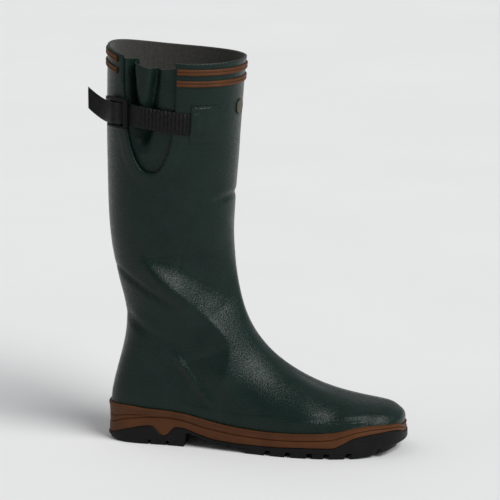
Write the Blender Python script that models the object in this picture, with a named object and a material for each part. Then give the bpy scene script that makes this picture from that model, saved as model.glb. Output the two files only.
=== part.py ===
"""Knee-high rubber boot for the right foot, standing empty on its sole.

Sizes are in millimetres in the frame of the last: X runs forward from the back of the heel, the outer
side of the foot is at -Y and the inner side at +Y, and the floor is at Z = 0. The finished pieces are
hung on one empty that brings the middle of the boot's footprint to the world's origin.
"""

from collections import namedtuple

import bmesh
import bpy
import numpy as np

MM = 0.001
WALL = 2.4  # rubber of the upper
GAP = 0.3  # clearance between pieces that meet
CUP_GAP = 0.7  # clearance between the curved wall of the upper and the facets of the cup round it
COLUMNS = 28  # facets round a section of the upper

# Sections of the upper from the toe to the collar. Each lies in a plane through its back (or bottom)
# point and its front (or top) point, square to the side view. Outer and inner are the half-widths on
# either side of the ridge, widest says how far up from the back they lie, and the powers are those of
# the superellipses behind and in front of the widest place.
Section = namedtuple(
    "Section",
    "name back_x back_z front_x front_z ridge outer inner widest back_power front_power",
)
UPPER = (
    Section("toe tip", 301.8, 29.4, 301.8, 29.4, 5.0, 0.0, 0.0, 0.45, 2.4, 2.2),
    Section("toe 1", 300.6, 20.5, 300.6, 38.0, 5.0, 11.5, 10.0, 0.45, 2.4, 2.5),
    Section("toe 2", 297.0, 12.5, 297.0, 41.6, 5.0, 22.0, 18.5, 0.44, 2.5, 2.5),
    Section("toe 3", 290.5, 7.0, 290.5, 45.7, 4.9, 31.5, 26.0, 0.43, 2.6, 2.5),
    Section("toe 4", 279.5, 3.5, 279.5, 48.3, 4.7, 39.5, 33.0, 0.42, 2.8, 2.5),
    Section("toe box", 262.0, 1.5, 262.0, 50.6, 4.3, 47.0, 39.5, 0.42, 3.0, 2.45),
    Section("ball front", 238.0, 0.5, 239.0, 55.8, 3.8, 52.5, 44.0, 0.42, 3.0, 2.1),
    Section("ball", 210.0, 1.0, 213.0, 64.3, 3.2, 54.5, 45.5, 0.42, 3.0, 2.0),
    Section("vamp", 180.0, 2.5, 190.0, 76.4, 3.5, 54.0, 42.5, 0.40, 3.0, 1.9),
    Section("waist", 147.0, 5.0, 168.4, 92.4, 3.5, 50.5, 39.0, 0.40, 3.0, 1.85),
    Section("instep", 112.0, 8.5, 151.8, 111.4, 2.5, 45.5, 38.0, 0.42, 3.1, 1.85),
    Section("seat", 74.0, 12.0, 141.5, 130.5, 1.3, 41.0, 38.0, 0.44, 3.2, 1.9),
    Section("heel", 36.0, 14.0, 135.5, 149.0, 0.5, 39.0, 38.0, 0.45, 3.2, 1.95),
    Section("heel corner", 9.0, 16.5, 131.8, 166.5, 0.1, 38.0, 37.5, 0.45, 3.0, 2.0),
    Section("heel back", 0.9, 32.0, 129.4, 182.0, 0.0, 37.6, 37.4, 0.45, 2.8, 2.05),
    Section("counter", 2.2, 54.0, 127.9, 197.0, 0.0, 38.2, 38.2, 0.46, 2.6, 2.1),
    Section("ankle low", 9.0, 80.0, 127.0, 212.0, 0.0, 39.2, 39.2, 0.46, 2.5, 2.1),
    Section("ankle", 16.0, 108.0, 126.8, 227.0, 0.0, 40.8, 40.8, 0.47, 2.4, 2.15),
    Section("ankle high", 17.4, 136.0, 127.6, 242.0, 0.0, 43.0, 43.0, 0.47, 2.3, 2.15),
    Section("calf 1", 10.4, 165.0, 128.5, 258.0, 0.0, 45.6, 45.6, 0.48, 2.3, 2.15),
    Section("calf 2", 3.2, 196.0, 129.9, 276.0, 0.0, 48.2, 48.2, 0.48, 2.25, 2.15),
    Section("calf 3", -0.4, 232.0, 131.6, 297.0, 0.0, 51.0, 51.0, 0.49, 2.25, 2.15),
    Section("calf 4", -1.4, 275.0, 133.2, 322.0, 0.0, 53.6, 53.6, 0.49, 2.2, 2.15),
    Section("calf 5", -1.6, 322.0, 135.4, 352.0, 0.0, 56.2, 56.2, 0.5, 2.2, 2.15),
    Section("calf 6", -0.8, 362.0, 137.3, 375.5, 0.0, 57.7, 57.7, 0.5, 2.2, 2.15),
    Section("collar", 0.2, 396.0, 139.4, 396.0, 0.0, 58.8, 58.8, 0.5, 2.2, 2.15),
)
HEEL_ROW = [row.name for row in UPPER].index("heel")
TOE_ROW = [row.name for row in UPPER].index("toe 3")
COUNTER_ROW = [row.name for row in UPPER].index("counter")
ANKLE_ROW = [row.name for row in UPPER].index("ankle high")
RISE_ROW = [row.name for row in UPPER].index("calf 5")
RIM = UPPER[-1].front_z
COLLAR_RISE, RISE_POWER = 12.0, 6  # the collar stands this much higher at the back than at the front

# Heights along the sole: the ground line, the underside of the black plate, the edge between black
# and brown, the side groove, the top of the rand and the feather line where the upper ends.
SoleRow = namedtuple("SoleRow", "x ground under split groove rand feather")
SOLE = (
    SoleRow(0, 2.2, 4.0, 6.6, 17.5, 38.6, 28.5),
    SoleRow(22, 0.0, 4.5, 14.2, 24.7, 39.4, 28.2),
    SoleRow(45, 0.0, 4.5, 19.4, 28.0, 37.6, 27.0),
    SoleRow(64, 0.0, 4.5, 19.8, 29.0, 36.7, 25.8),
    SoleRow(82, 0.0, 4.5, 19.6, 27.3, 35.0, 24.5),
    SoleRow(86, 0.0, 15.0, 18.5, 26.2, 34.3, 24.0),
    SoleRow(104, 0.0, 9.8, 12.9, 21.8, 30.6, 21.4),
    SoleRow(118, 0.0, 7.6, 10.3, 19.8, 27.9, 19.6),
    SoleRow(144, 0.0, 6.0, 9.1, 17.5, 25.0, 16.6),
    SoleRow(172, 0.0, 5.4, 9.4, 16.6, 24.0, 14.4),
    SoleRow(209, 0.0, 5.4, 10.8, 17.5, 25.0, 13.6),
    SoleRow(238, 0.0, 5.4, 11.3, 19.6, 26.9, 13.8),
    SoleRow(248, 0.3, 5.7, 15.6, 22.7, 28.7, 14.3),
    SoleRow(260, 0.9, 6.4, 21.7, 26.6, 31.4, 15.1),
    SoleRow(282, 4.0, 9.4, 25.3, 29.2, 33.3, 17.0),
    SoleRow(292, 6.6, 10.9, 26.0, 29.0, 32.5, 18.2),
    SoleRow(302, 9.0, 11.7, 19.6, 22.6, 25.6, 19.5),
)
TONGUE_X, TONGUE_REACH, TONGUE_DROP = 61.5, 13.0, 10.0  # the brown tongue over the heel
TOE_GIRTH = 25.0  # height of the toe's widest place
CORE_STEP = 0.6  # the black edge stands this far above the seam inside
FLOOR_LEFT = 2.8  # brown rubber left under the foot

HEEL_LUGS = (1.0, 46.5, 65.3, 83.0)  # where the slots between the lugs cross the sole's edge
FOREFOOT_LUGS = (145.0, 173.0, 194.0, 216.0, 233.0, 254.7, 283.0, 302.5)
HEEL_SLOT, FOREFOOT_SLOT = 3.0, 5.0

FOOTBED = 4.0  # thickness of the insole

# The U-shaped cut-out high on the outer side: half an ellipse, and straight sides above it
OPENING_X, OPENING_FOOT = 53.2, 285.0
OPENING_HALF, OPENING_TALL = 28.3, 105.0

# Folds of the gusset: depth at the collar, spread in degrees, and angles round the shaft at some heights
Fold = namedtuple("Fold", "depth spread heights angles")
FOLDS = (
    Fold(13.0, 4.2, (285, 304, 328, 362, 394), (80.0, 79.5, 74.5, 64.6, 63.0)),
    Fold(8.0, 4.5, (285, 394), (84.0, 88.0)),
)
GUSSET_ANGLES = (36.0, 112.0)
GUSSET_FOOT, GUSSET_BELOW_RIM, GUSSET_THICK = 272.0, 3.0, 1.2
GUSSET_DIP, DIP_ANGLE, DIP_SPREAD = 5.0, 82.0, 20.0  # its top edge hangs lower in the middle

BANDS = {"collar_band_upper": 8.6, "collar_band_lower": 20.1}  # their middles below the rim
BAND_LIFT = 3.5  # they lie this much closer to the rim at the back
BAND_ANGLES = (100.2, 405.0)  # where they start and end, as angles round the shaft
BAND_HEIGHT, BAND_RIB, BAND_THICK = 6.2, 1.5, 0.9

STRAP_WIDTH, STRAP_THICK = 22.0, 1.6
STRAP_HEIGHT, STRAP_SLOPE = 344.0, 0.175  # height of its middle at the buckle, and fall per degree
STRAP_END, TAB_END = 112.0, 140.0  # angles round the shaft where the strap and its tab end
TAB_HALF, TAB_THICK, TAB_PAD, TAB_TAPER = 19.0, 1.1, 1.7, 0.6

# The strap's way through the buckle, as angles and clearances from the shaft: under the first bar,
# then over the second bar and over the loop that holds the third.
STRAP_ROUTE = (
    (STRAP_END, 0.5),
    (57.8, 0.5),
    (52.8, 3.6),
    (48.0, 3.8),
    (43.6, 4.9),
    (35.0, 4.9),
)
BUCKLE_END = STRAP_ROUTE[-1][0]
TAIL_LENGTH, TAIL_RISE, TAIL_CURL = 24.5, 11.0, 50.0  # curl in degrees away from the shaft

# Bars of the buckle: first and last angle, and clearance of their two faces from the shaft
Bar = namedtuple("Bar", "start end low high")
BARS = (Bar(58.0, 62.0, 2.6, 5.0), Bar(48.5, 52.5, 0.7, 3.2), Bar(36.5, 41.2, 1.8, 3.2))
RAIL = Bar(35.0, 62.0, 0.7, 5.0)
RAIL_INSIDE, RAIL_OUTSIDE = 12.0, 15.5  # from the strap's middle line
LOOP = (Bar(-4.0, 43.0, 0.35, 1.35), Bar(41.9, 43.0, 1.35, 3.5), Bar(34.5, 43.0, 3.5, 4.5))
LOOP_HALF = 10.0

DISC_ANGLE, DISC_HEIGHT, DISC_RADIUS = 173.0, 348.0, 8.0


def natural_spline(knots, values):
    """A smooth function through the values (one row per knot), with no bend at its ends."""
    knots = np.asarray(knots, float)
    values = np.asarray(values, float)
    count = len(knots)
    step = np.diff(knots)
    slope = np.diff(values, axis=0) / step[:, None]
    system = np.eye(count)
    right = np.zeros_like(values)
    for i in range(1, count - 1):
        system[i, i - 1 : i + 2] = step[i - 1], 2 * (step[i - 1] + step[i]), step[i]
        right[i] = 6 * (slope[i] - slope[i - 1])
    bend = np.linalg.solve(system, right)

    def at(place):
        place = np.atleast_1d(np.asarray(place, float))
        i = np.clip(np.searchsorted(knots, place) - 1, 0, count - 2)
        width = step[i][:, None]
        after = (place - knots[i])[:, None] / width
        before = 1 - after
        curve = (before**3 - before) * bend[i] + (after**3 - after) * bend[i + 1]
        return before * values[i] + after * values[i + 1] + curve * width**2 / 6

    return at


def monotone(places, values):
    """A smooth function through the values that never passes above or below its neighbours."""
    places = np.asarray(places, float)
    values = np.asarray(values, float)
    step = np.diff(places)
    slope = np.diff(values) / step
    lean = np.zeros(len(places))
    for i in range(1, len(places) - 1):
        if slope[i - 1] * slope[i] > 0:
            near, far = 2 * step[i] + step[i - 1], step[i] + 2 * step[i - 1]
            lean[i] = (near + far) / (near / slope[i - 1] + far / slope[i])

    def at(place):
        place = np.clip(np.asarray(place, float), places[0], places[-1])
        i = np.clip(np.searchsorted(places, place) - 1, 0, len(step) - 1)
        t = (place - places[i]) / step[i]
        rise = t * t * (3 - 2 * t)
        bulge = t * (1 - t) * ((1 - t) * lean[i] - t * lean[i + 1]) * step[i]
        return values[i] + rise * (values[i + 1] - values[i]) + bulge

    return at


def section_knots():
    """Each section's distance along the boot from the toe: the mean of its back's and its front's."""
    ends = np.array([row[1:5] for row in UPPER])
    moves = np.diff(ends, axis=0)
    lengths = np.hypot(moves[:, 0], moves[:, 1]) + np.hypot(moves[:, 2], moves[:, 3])
    return np.concatenate([[0], np.cumsum(lengths / 2)])


KNOTS = section_knots()
section_at = natural_spline(KNOTS, [row[1:] for row in UPPER])
SOLE_X = [row.x for row in SOLE]
ground = monotone(SOLE_X, [row.ground for row in SOLE])
under = monotone(SOLE_X, [row.under for row in SOLE])
plain_split = monotone(SOLE_X, [row.split for row in SOLE])
groove = monotone(SOLE_X, [row.groove for row in SOLE])
rand_top = monotone(SOLE_X, [row.rand for row in SOLE])
feather = monotone(SOLE_X, [row.feather for row in SOLE])


def split(x):
    """Height of the edge between black and brown, with the brown tongue that dips over the heel."""
    away = np.clip(np.abs(np.asarray(x, float) - TONGUE_X) / TONGUE_REACH, 0, 1)
    return plain_split(x) - TONGUE_DROP * (1 - away**2) ** 2


def split_core(x):
    """The same seam inside the sole, kept clear under the foot."""
    return np.minimum(split(x) - CORE_STEP, feather(x) - FLOOR_LEFT)


def profile(rows, rise):
    """Share of the half-width at a height above the back point, for arrays of sections and heights."""
    tall = np.hypot(rows[:, 2] - rows[:, 0], rows[:, 3] - rows[:, 1])
    widest = rows[:, 7] * tall
    below = np.clip((widest - rise) / np.maximum(widest, 1e-9), 0, 1)
    above = np.clip((rise - widest) / np.maximum(tall - widest, 1e-9), 0, 1)
    low = (1 - below ** rows[:, 8]) ** (1 / rows[:, 8])
    high = (1 - above ** rows[:, 9]) ** (1 / rows[:, 9])
    return np.where(rise < widest, low, high)


def collar_rise(place, angle):
    """How much the top of the shaft is drawn up, most at the back of the collar."""
    share = np.clip((np.asarray(place) - KNOTS[RISE_ROW]) / (KNOTS[-1] - KNOTS[RISE_ROW]), 0, 1)
    return COLLAR_RISE * share**2 * (3 - 2 * share) * np.cos(angle / 2) ** RISE_POWER


def upper_point(place, angle):
    """Points of the upper's outside. Angle 0 is the back or bottom, 90 the outer side, 180 the front."""
    rows = section_at(place)
    angle = np.radians(np.broadcast_to(np.asarray(angle, float), len(rows)))
    tall = np.hypot(rows[:, 2] - rows[:, 0], rows[:, 3] - rows[:, 1])
    widest = rows[:, 7] * tall
    behind = np.cos(angle) > 0
    power = 2 / np.where(behind, rows[:, 8], rows[:, 9])
    along = np.abs(np.cos(angle)) ** power
    across = np.abs(np.sin(angle)) ** power
    rise = np.where(behind, widest * (1 - along), widest + (tall - widest) * along)
    share = rise / np.maximum(tall, 1e-9)
    x = rows[:, 0] + share * (rows[:, 2] - rows[:, 0])
    z = rows[:, 1] + share * (rows[:, 3] - rows[:, 1])
    y = rows[:, 4] + np.where(np.sin(angle) > 0, -rows[:, 5], rows[:, 6]) * across
    return np.stack([x, y, z + collar_rise(place, angle)], axis=1)


def on_shaft(angle, height, proud):
    """Points at angles and heights of the shaft, moved out of its surface by proud."""
    angle, height, proud = np.broadcast_arrays(angle, height, proud)
    flat = angle.ravel().astype(float)
    tall = height.ravel()
    low = np.full(len(flat), KNOTS[ANKLE_ROW])
    high = np.full(len(flat), KNOTS[-1])
    place = bisect(lambda place: upper_point(place, flat)[:, 2] - tall, low, high)
    along = upper_point(place + 0.5, flat) - upper_point(place - 0.5, flat)
    round_it = upper_point(place, flat + 0.5) - upper_point(place, flat - 0.5)
    normal = np.cross(round_it, along)
    normal /= np.linalg.norm(normal, axis=1)[:, None]
    points = upper_point(place, flat) + normal * proud.ravel()[:, None]
    return points.reshape(*angle.shape, 3)


def rim_height(angle):
    """Height of the collar's rim at an angle round the shaft."""
    return RIM + collar_rise(KNOTS[-1], np.radians(angle))


def band_height(angle):
    """The line that the collar's bands follow: the rim, drawn up a little more at the back."""
    return rim_height(angle) + BAND_LIFT * np.cos(np.radians(angle) / 2) ** 4


def strap_height(angle):
    """Height of the strap's middle line: level at the buckle, then falling towards the front."""
    return STRAP_HEIGHT - STRAP_SLOPE * np.maximum(np.asarray(angle, float) - BARS[0].end, 0)


def bisect(function, low, high, turns=40):
    """Where a rising function passes zero, for arrays of brackets."""
    low = np.array(low, float)
    high = np.array(high, float)
    for _ in range(turns):
        middle = (low + high) / 2
        over = function(middle) > 0
        high = np.where(over, middle, high)
        low = np.where(over, low, middle)
    return (low + high) / 2


def bottom_ends(height):
    """The sections, near the toe and at the heel, whose lowest point is just at the height line."""

    def above(place):
        rows = section_at(place)
        return rows[:, 1] - height(rows[:, 0])

    toe = bisect(lambda place: -above(place), KNOTS[:1], KNOTS[TOE_ROW : TOE_ROW + 1])
    heel = bisect(above, KNOTS[HEEL_ROW : HEEL_ROW + 1], KNOTS[COUNTER_ROW : COUNTER_ROW + 1])
    return toe[0], heel[0]


def side_lines(height, count=240):
    """The upper's outside along a height line: x, outer y and inner y, in order from heel to toe."""
    toe, heel = bottom_ends(height)
    turn = np.linspace(0, np.pi, count)
    place = heel + (toe - heel) * (1 - np.cos(turn)) / 2
    rows = section_at(place)
    tall = np.hypot(rows[:, 2] - rows[:, 0], rows[:, 3] - rows[:, 1])

    def above(rise):
        share = rise / tall
        x = rows[:, 0] + share * (rows[:, 2] - rows[:, 0])
        return rows[:, 1] + share * (rows[:, 3] - rows[:, 1]) - height(x)

    rise = bisect(above, np.zeros(count), tall)
    x = rows[:, 0] + rise / tall * (rows[:, 2] - rows[:, 0])
    width = profile(rows, rise)
    width[[0, -1]] = 0
    return x, rows[:, 4] - rows[:, 5] * width, rows[:, 4] + rows[:, 6] * width


def new_material(name, colour, roughness):
    material = bpy.data.materials.new(name)
    material.use_nodes = True
    shader = material.node_tree.nodes["Principled BSDF"]
    shader.inputs["Base Color"].default_value = (*colour, 1)
    shader.inputs["Roughness"].default_value = roughness
    shader.inputs["Metallic"].default_value = 0.0
    material.diffuse_color = (*colour, 1)
    return material


def new_object(name, points, faces, material, weld=1e-6):
    """A mesh object from points in millimetres, welded, with its faces turned outwards."""
    mesh = bpy.data.meshes.new(name)
    mesh.from_pydata((np.asarray(points) * MM).tolist(), [], faces)
    shaped = bmesh.new()
    shaped.from_mesh(mesh)
    bmesh.ops.remove_doubles(shaped, verts=shaped.verts, dist=weld)
    bmesh.ops.recalc_face_normals(shaped, faces=shaped.faces)
    shaped.to_mesh(mesh)
    shaped.free()
    mesh.materials.append(material)
    mesh.shade_smooth()
    mesh.set_sharp_from_angle(angle=np.radians(35))
    made = bpy.data.objects.new(name, mesh)
    bpy.context.scene.collection.objects.link(made)
    return made


def as_helper(made):
    made.hide_render = True
    made.display_type = "WIRE"
    return made


def add_boolean(made, helper, operation):
    modifier = made.modifiers.new(operation.title(), "BOOLEAN")
    modifier.operation = operation
    modifier.solver = "EXACT"
    modifier.object = helper


def grid_faces(rows, columns):
    """Quads between neighbouring rows of a grid of points."""
    faces = []
    for i in range(rows - 1):
        for j in range(columns - 1):
            first = i * columns + j
            faces.append((first, first + 1, first + columns + 1, first + columns))
    return faces


def ring_faces(rings, count):
    """Quads between neighbouring closed rings of points."""
    faces = []
    for i in range(rings - 1):
        for j in range(count):
            ahead = (j + 1) % count
            first = i * count
            faces.append((first + j, first + ahead, first + count + ahead, first + count + j))
    return faces


def upper_angles(place):
    """The angles of a section's columns: all the way round, or between its two feather points."""

    def above(angle):
        point = upper_point([place], angle)
        return point[:, 2] - feather(point[:, 0])

    low, high = 0.0, 360.0
    if above(0.0)[0] < -1e-6:
        low = bisect(above, [0.0], [150.0])[0]
        high = 360 - bisect(lambda angle: above(360 - angle), [0.0], [150.0])[0]
    return np.linspace(low, high, COLUMNS + 1)


def upper_places():
    """Where the upper is cut into facets: its sections, with more of them where the foot turns."""
    toe, heel = bottom_ends(feather)
    foot = (KNOTS[TOE_ROW:HEEL_ROW] + KNOTS[TOE_ROW + 1 : HEEL_ROW + 1]) / 2
    round_heel = heel - (heel - KNOTS[HEEL_ROW]) * np.array([0.0, 0.08, 0.3, 0.8])
    return np.sort(np.concatenate([KNOTS, [toe], foot, round_heel]))


def new_slab(name, outside, inside, material):
    """A closed sheet between two grids of points."""
    rows, columns = outside.shape[:2]
    count = rows * columns
    faces = grid_faces(rows, columns)
    faces += [tuple(count + v for v in face[::-1]) for face in faces]
    edge = list(range(columns))
    edge += [i * columns + columns - 1 for i in range(1, rows)]
    edge += [(rows - 1) * columns + j for j in range(columns - 2, -1, -1)]
    edge += [i * columns for i in range(rows - 2, 0, -1)]
    for a, b in zip(edge, edge[1:] + edge[:1]):
        faces.append((b, a, count + a, count + b))
    points = np.concatenate([outside.reshape(-1, 3), inside.reshape(-1, 3)])
    return new_object(name, points, faces, material)


def new_loft(name, sections, material):
    """A bar through closed sections of equal count, with flat ends."""
    count = len(sections[0])
    faces = ring_faces(len(sections), count)
    first = (len(sections) - 1) * count
    faces += [tuple(range(count))[::-1], tuple(range(first, first + count))]
    return new_object(name, np.concatenate(sections), faces, material)


def opening_cutter(material):
    """A prism through the outer wall with the outline of the cut-out."""
    near, far, past_rim = -15.0, -95.0, 40.0
    turn = np.linspace(0, np.pi / 2, 12)
    half = np.append(OPENING_HALF * np.sin(turn), OPENING_HALF)
    height = np.append(OPENING_FOOT + OPENING_TALL * (1 - np.cos(turn)), RIM + past_rim)
    front = np.column_stack([OPENING_X + half, height])
    back = np.column_stack([OPENING_X - half, height])[:0:-1]
    flat = np.concatenate([front, back])
    ends = [np.column_stack([flat[:, 0], np.full(len(flat), y), flat[:, 1]]) for y in (far, near)]
    return as_helper(new_loft("opening_cutter", ends, material))


def make_upper(material):
    """The moulded wall of foot and shaft, open at the collar, underneath and at the cut-out."""
    places = upper_places()
    points = np.concatenate([upper_point(np.full(COLUMNS + 1, p), upper_angles(p)) for p in places])
    made = new_object("upper", points, grid_faces(len(places), COLUMNS + 1), material, weld=1e-5)
    wall = made.modifiers.new("Wall", "SOLIDIFY")
    wall.thickness = WALL * MM
    wall.offset = -1
    wall.use_even_offset = True
    add_boolean(made, opening_cutter(material), "DIFFERENCE")
    return made


def make_gusset(material):
    """The folded panel behind the cut-out, against the inside of the upper."""
    rows, columns = 8, 24
    angle = np.linspace(*GUSSET_ANGLES, columns)[None, :]
    share = np.linspace(0, 1, rows)[:, None]
    dip = GUSSET_DIP * np.exp(-(((angle - DIP_ANGLE) / DIP_SPREAD) ** 2))
    height = GUSSET_FOOT + share * (rim_height(angle) - GUSSET_BELOW_RIM - dip - GUSSET_FOOT)
    climb = np.clip((height - OPENING_FOOT) / (RIM - OPENING_FOOT), 0, 1)
    inward = WALL + 2 * GAP
    for fold in FOLDS:
        middle = monotone(fold.heights, fold.angles)(height)
        inward = inward + fold.depth * np.sqrt(climb) * np.exp(-(((angle - middle) / fold.spread) ** 2))
    outside = on_shaft(angle, height, -inward)
    inside = on_shaft(angle, height, -inward - GUSSET_THICK)
    return new_slab("gusset", outside, inside, material)


def make_band(name, below_rim, material):
    """A ribbed band round the collar, from one edge of the cut-out to the other."""
    half, valley = BAND_HEIGHT / 2, BAND_THICK
    section = np.array(
        [
            (-half, GAP),
            (-half, valley),
            (-half / 2, BAND_RIB),
            (0, valley),
            (half / 2, BAND_RIB),
            (half, valley),
            (half, GAP),
        ]
    )
    clear = 0.1
    angles = np.linspace(*BAND_ANGLES, 30)
    sections = [
        on_shaft(angle, band_height(angle) - below_rim + section[:, 0], section[:, 1] + clear)
        for angle in angles
    ]
    return new_loft(name, sections, material)


def strap_sections():
    """Rectangles along the strap: round the shaft, through the buckle, and along its loose tail."""
    route_angles, route_clear = np.array(STRAP_ROUTE)[::-1].T
    smooth = monotone(route_angles, route_clear)
    round_shaft = np.linspace(STRAP_END, RAIL.end, 12)
    through_buckle = np.linspace(RAIL.end, BUCKLE_END, 13)[1:]
    angles = np.concatenate([round_shaft, through_buckle])
    half = STRAP_WIDTH / 2
    across = np.array([-half, half, half, -half])
    through = np.array([0, 0, STRAP_THICK, STRAP_THICK])
    sections = [on_shaft(a, strap_height(a) + across, smooth(a) + through) for a in angles]
    start, out = on_shaft(BUCKLE_END, STRAP_HEIGHT, smooth(BUCKLE_END) + np.array([0, 1]))
    before = on_shaft(BUCKLE_END + 1, STRAP_HEIGHT, smooth(BUCKLE_END + 1))
    out = out - start
    ahead = start - before
    ahead /= np.linalg.norm(ahead)
    here = start
    steps = 7
    for i in range(1, steps + 1):
        share = i / steps
        turn = np.radians(TAIL_CURL) * share
        here = here + TAIL_LENGTH / steps * (ahead * np.cos(turn) + out * np.sin(turn))
        face = out * np.cos(turn) - ahead * np.sin(turn)
        lift = np.array([0, 0, TAIL_RISE * share**2])
        up = np.array([0, 0, 1.0])
        sections.append(here + lift + across[:, None] * up + through[:, None] * face)
    return sections


def new_cells(name, angle_cuts, across_cuts, clear_cuts, filled, material):
    """A solid of cells bent round the shaft: filled says which cells of the three-way grid it has."""
    shape = (len(angle_cuts) - 1, len(across_cuts) - 1, len(clear_cuts) - 1)
    all_cuts = [np.asarray(cuts) for cuts in (angle_cuts, across_cuts, clear_cuts)]
    middles = [(cuts[1:] + cuts[:-1]) / 2 for cuts in all_cuts]
    full = np.zeros(np.add(shape, 2), bool)
    for cell in np.ndindex(shape):
        full[tuple(np.add(cell, 1))] = filled(*(middles[axis][cell[axis]] for axis in range(3)))
    a, w, o = np.meshgrid(angle_cuts, across_cuts, clear_cuts, indexing="ij")
    points = on_shaft(a, strap_height(a) + w, o).reshape(-1, 3)
    index = np.arange(len(points)).reshape(a.shape)
    faces = []
    for cell in np.argwhere(full):
        for axis in range(3):
            for side in (0, 1):
                beyond = cell.copy()
                beyond[axis] += 2 * side - 1
                if full[tuple(beyond)]:
                    continue
                corner = cell - 1
                corner[axis] += side
                first, second = [k for k in range(3) if k != axis]
                ring = []
                for u, v in ((0, 0), (1, 0), (1, 1), (0, 1)):
                    spot = corner.copy()
                    spot[first] += u
                    spot[second] += v
                    ring.append(int(index[tuple(spot)]))
                faces.append(tuple(ring))
    used = sorted({v for face in faces for v in face})
    new_index = {v: i for i, v in enumerate(used)}
    return new_object(name, points[used], [tuple(new_index[v] for v in f) for f in faces], material)


def make_buckle(material):
    """The slide buckle: two rails joined by three bars."""
    between_bars = {45.0, 55.2}
    ends = {angle for bar in (RAIL, *BARS) for angle in (bar.start, bar.end)}
    angle_cuts = sorted(between_bars | ends)
    across_cuts = (-RAIL_OUTSIDE, -RAIL_INSIDE, RAIL_INSIDE, RAIL_OUTSIDE)
    clear_cuts = sorted({clear for bar in (RAIL, *BARS) for clear in (bar.low, bar.high)})

    def filled(angle, across, clear):
        in_bar = any(bar.start < angle < bar.end and bar.low < clear < bar.high for bar in BARS)
        return abs(across) > RAIL_INSIDE or in_bar

    return new_cells("buckle", angle_cuts, across_cuts, clear_cuts, filled, material)


def make_buckle_loop(material):
    """The flat loop that runs round the buckle's last bar and lies on the back of the shaft."""
    along_shaft = set(np.arange(2.0, 39.0, 6.0))
    angle_cuts = sorted(along_shaft | {angle for bar in LOOP for angle in (bar.start, bar.end)})
    clear_cuts = sorted({clear for bar in LOOP for clear in (bar.low, bar.high)})

    def filled(angle, across, clear):
        return any(bar.start < angle < bar.end and bar.low < clear < bar.high for bar in LOOP)

    return new_cells("buckle_loop", angle_cuts, (-LOOP_HALF, 0, LOOP_HALF), clear_cuts, filled, material)


def make_strap_tab(material):
    """The rubber patch that holds the strap's fixed end, thick beside the strap and thin at its front."""
    pad_degrees, pad_edge, seat = 16.0, 6.0, GAP + 0.1
    angle = np.linspace(STRAP_END + 0.6, TAB_END, 7)[None, :]
    across = np.linspace(-TAB_HALF, TAB_HALF, 7)[:, None]
    height = strap_height(STRAP_END) + across
    along = np.clip((angle - STRAP_END) / pad_degrees, 0, 1)
    sideways = np.clip((TAB_HALF - np.abs(across)) / pad_edge, 0, 1)
    forward = (angle - STRAP_END) / (TAB_END - STRAP_END)
    thick = TAB_THICK * (1 - TAB_TAPER * forward**2) + TAB_PAD * (1 - along**2) * sideways
    outside = on_shaft(angle, height, seat + thick)
    inside = on_shaft(angle, height, np.full_like(thick, seat))
    return new_slab("strap_tab", outside, inside, material)


def make_disc(material):
    """The small bare disc on the front of the shaft."""
    seat, edge, face, chamfer = GAP + 0.1, 0.9, 1.3, 0.7
    ends = on_shaft(DISC_ANGLE + np.array([-0.5, 0.5]), DISC_HEIGHT, 0.0)
    per_degree = np.linalg.norm(ends[1] - ends[0])
    turns = np.linspace(0, 2 * np.pi, 20, endpoint=False)
    rings = []
    for radius, proud in ((DISC_RADIUS, seat), (DISC_RADIUS, edge), (DISC_RADIUS - chamfer, face)):
        angle = DISC_ANGLE + radius * np.cos(turns) / per_degree
        rings.append(on_shaft(angle, DISC_HEIGHT + radius * np.sin(turns), proud))
    return new_loft("badge_disc", rings, material)


def shifted(height, by):
    return lambda x: height(x) + by


def side_line(x):
    """The height whose outline the sole's side follows lower down: the widest place of the toe."""
    return np.maximum(feather(x) + 2, np.minimum(rand_top(x), TOE_GIRTH))


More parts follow.
